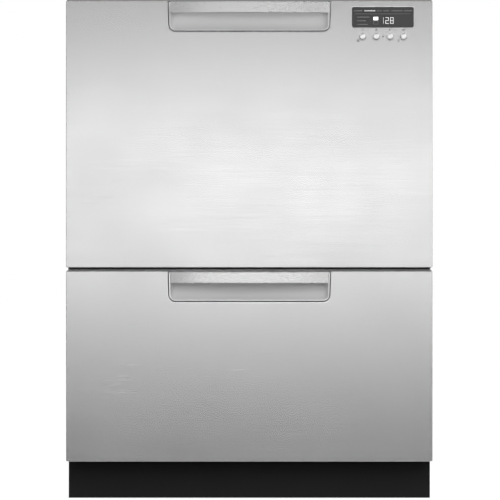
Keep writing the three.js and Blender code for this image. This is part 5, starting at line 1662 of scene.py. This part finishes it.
@dataclass
class Studio:
    """Floor, lamps, reflectors and camera, in metres."""

    camera_x: float = 0.0011
    camera_z: float = 0.4094
    distance: float = 5.9
    lens: float = 260.0
    sensor: float = 36.0
    clip: float = 60.0
    floor_half: float = 20.0
    floor_grey: float = 0.80
    floor_glow: float = 0.66
    soft_level: float = 0.45
    white_level: float = 1.0
    dome_radius: float = 3.2
    dome_reach: float = 2.6
    dome_dip: float = 0.02
    dome_heights: tuple[float, float] = (1.2, 2.4)
    dome_levels: tuple[float, float] = (1.0, 3.8)
    mat_half: float = 3.0
    mat_far: float = -3.4
    mat_near: float = -0.34
    mat_z: float = 0.002
    mat_level: float = 1.0
    strip_half: float = 1.3
    strip_rise: float = 0.20
    strip_y: float = -1.80
    strip_z: float = 0.55
    strip_level: float = 3.15

    def camera(self) -> None:
        """Places the camera level with the unit's middle, looking straight at the front."""
        data = bpy.data.cameras.new("studio_camera")
        data.lens = self.lens
        data.sensor_width = self.sensor
        data.clip_end = self.clip
        made = bpy.data.objects.new("studio_camera", data)
        made.location = (self.camera_x, FACE_Y * MM - self.distance, self.camera_z)
        made.rotation_euler = (math.pi / 2, 0.0, 0.0)
        bpy.context.scene.collection.objects.link(made)
        bpy.context.scene.camera = made

    def put(self, name: str, surface: Surface, material: bpy.types.Material) -> bpy.types.Object:
        """Adds a surface in metres that belongs to the studio."""
        mesh = bpy.data.meshes.new(name)
        mesh.from_pydata(surface.points.tolist(), [], surface.faces)
        mesh.materials.append(material)
        made = bpy.data.objects.new(name, mesh)
        bpy.context.scene.collection.objects.link(made)
        return made

    def floor(self) -> None:
        """Lays a wide pale floor that looks white to the camera but keeps the unit's shadow."""
        material = bpy.data.materials.new("studio_floor")
        t = fresh(material)
        pale = t.add("ShaderNodeBsdfDiffuse", {"Color": grey(self.floor_grey)}).outputs[0]
        light = t.add("ShaderNodeEmission", {"Color": WHITE, "Strength": self.floor_glow}).outputs[0]
        bright = t.add("ShaderNodeAddShader", {0: pale, 1: light}).outputs[0]
        final = t.add("ShaderNodeMixShader", {0: self.shown(t), 1: pale, 2: bright}).outputs[0]
        t.add("ShaderNodeOutputMaterial", {"Surface": final})
        half = self.floor_half
        self.put("studio_floor", flat(half, (-half, 0.0), (half, 0.0)), material)

    def shown(self, t: Tree) -> bpy.types.NodeSocket:
        """One for rays that look at the backdrop: from the camera, in a reflection or through glass."""
        path = t.add("ShaderNodeLightPath").outputs
        seen = t.math("MAXIMUM", path["Is Camera Ray"], path["Is Glossy Ray"])
        return t.math("MAXIMUM", seen, path["Is Transmission Ray"])

    def world(self) -> None:
        """White backdrop where it is seen, and a plain soft level where it only lights."""
        world = bpy.data.worlds.new("studio_world")
        bpy.context.scene.world = world
        t = fresh(world)
        soft, white = (t.add("ShaderNodeBackground", {"Color": WHITE, "Strength": level}).outputs[0]
                       for level in (self.soft_level, self.white_level))
        mixed = t.add("ShaderNodeMixShader", {0: self.shown(t), 1: soft, 2: white}).outputs[0]
        t.add("ShaderNodeOutputWorld", {"Surface": mixed})

    def ramp(self, t: Tree, value: Any, reach: float,
             levels: Sequence[tuple[float, float]]) -> bpy.types.NodeSocket:
        """Level that follows a value from -reach to reach through (spot, level) marks, spots from 0 to 1.

        Args:
            t: Tree that the nodes go into.
            value: Value that the level follows.
            reach: Where the marks end, to both sides of 0.
            levels: Spot and level of each mark, the two ends first.

        Returns:
            The level's socket.
        """
        node = t.add("ShaderNodeValToRGB", {0: t.fit(value, -reach, reach, 0.0, 1.0)})
        marks = node.color_ramp.elements
        for number, (spot, level) in enumerate(levels):
            mark = marks[number] if number < 2 else marks.new(spot)
            mark.position, mark.color = spot, grey(level)
        return node.outputs[0]

    def card(self, name: str, surface: Surface, reach: float, levels: Sequence[tuple[float, float]],
             strength: Callable[[Tree, Any], Any], sampling: str = "NONE") -> None:
        """Adds a surface in metres that is seen only in reflections.

        Args:
            name: Name of the object, its mesh and its material.
            surface: Its shape.
            reach: Distance from X = 0 at which the levels end.
            levels: Spot along X, from 0 at one end to 1 at the other, and level there.
            strength: Function of the tree and the height that gives the emission's strength.
            sampling: How lamp sampling picks its faces; with none, reflected rays alone find the card.
        """
        material = bpy.data.materials.new(name)
        t = fresh(material)
        split = t.add("ShaderNodeSeparateXYZ", {0: t.place()}).outputs
        inputs = {"Color": self.ramp(t, split["X"], reach, levels), "Strength": strength(t, split["Z"])}
        t.add("ShaderNodeOutputMaterial", {"Surface": t.add("ShaderNodeEmission", inputs).outputs[0]})
        material.cycles.emission_sampling = sampling
        made = self.put(name, surface, material)
        for ray in ("camera", "diffuse", "transmission", "volume_scatter", "shadow"):
            setattr(made, f"visible_{ray}", False)

    def dome(self) -> None:
        """Large dome of grey cloth round the set, dark in the middle and brighter to both sides and overhead.

        A point at bearing t and height angle a lies at r cos a sin t, middle - r cos a cos t, r sin a.
        """
        turn = np.linspace(0.0, TAU, 48, endpoint=False)
        lift = np.linspace(-self.dome_dip, TAU / 4, 16)
        out = self.dome_radius * np.cos(lift)[:, None]
        x = out * np.sin(turn)[None]
        y = STUDIO_FRONT - out * np.cos(turn)[None]
        z = np.repeat((self.dome_radius * np.sin(lift))[:, None], len(turn), 1)
        levels = [(0.0, 0.10), (1.0, 1.10), (0.05, 0.12), (0.10, 0.62), (0.24, 0.55), (0.30, 0.11),
                  (0.42, 0.11), (0.58, 0.11), (0.70, 0.12), (0.76, 0.55), (0.90, 0.65)]
        self.card("studio_dome", Surface.grid(np.stack([x, y, z], -1)), self.dome_reach, levels,
                  lambda t, height: t.fit(height, *self.dome_heights, *self.dome_levels))

    def mat(self) -> None:
        """Cloth on the floor in front of the unit, dark in its middle and lighter to both sides."""
        levels = [(0.0, 0.5), (1.0, 0.5), (0.36, 0.5), (0.41, 0.11), (0.59, 0.11), (0.64, 0.5)]
        cloth = flat(self.mat_half, (self.mat_far, self.mat_z), (self.mat_near, self.mat_z))
        self.card("studio_mat", cloth, self.mat_half, levels, lambda t, height: self.mat_level)

    def strip(self) -> None:
        """Long narrow light in front of the unit, level in the middle and weaker towards its ends."""
        levels = [(0.0, 0.1), (1.0, 0.5), (0.22, 0.3), (0.34, 0.92), (0.5, 1.0), (0.66, 0.95), (0.80, 0.65)]
        y, z, rise = self.strip_y, self.strip_z, self.strip_rise
        light = flat(self.strip_half, (y, z - rise), (y, z + rise))
        self.card("studio_strip", light, self.strip_half, levels, lambda t, height: self.strip_level,
                  sampling="FRONT_BACK")

    def lamp(self, name: str, place: Sequence[float], aim: Sequence[float], size: Sequence[float],
             power: float) -> None:
        """Soft box: a rectangular lamp that neither the camera nor a reflection sees.

        Args:
            name: Name of the lamp.
            place: Its centre in metres.
            aim: Point that it shines at.
            size: Width and height in metres.
            power: Power in watts.
        """
        data = bpy.data.lights.new(name, "AREA")
        data.shape = "RECTANGLE"
        data.size, data.size_y = size
        data.energy = power
        made = bpy.data.objects.new(name, data)
        made.location = place
        way = Vector(aim) - Vector(place)
        made.rotation_euler = way.to_track_quat("-Z", "Y").to_euler()
        made.visible_camera = False
        made.visible_glossy = False
        bpy.context.scene.collection.objects.link(made)

    def build(self) -> None:
        """Sets up the whole studio."""
        self.camera()
        self.floor()
        self.world()
        self.dome()
        self.mat()
        self.strip()
        self.lamp("front_box", (0.15, -1.80, 0.98), (0.15, STUDIO_FRONT, 0.80), (2.4, 0.8), 20.0)
        self.lamp("key_box", (1.5, -2.0, 2.1), (0.0, STUDIO_FRONT, 0.45), (0.9, 0.9), 8.0)
        bpy.context.scene.view_settings.view_transform = "Standard"


def main() -> None:
    """Builds the studio, the cabinet and both drawers."""
    logging.basicConfig(level=logging.INFO, format="%(message)s")
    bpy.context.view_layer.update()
    EFFECTS.build()
    Studio().build()
    Cabinet().build()
    for drawer in Drawer:
        WashDrawer(drawer).build()
    ControlPanel().build()


if __name__ == "__main__":
    main()
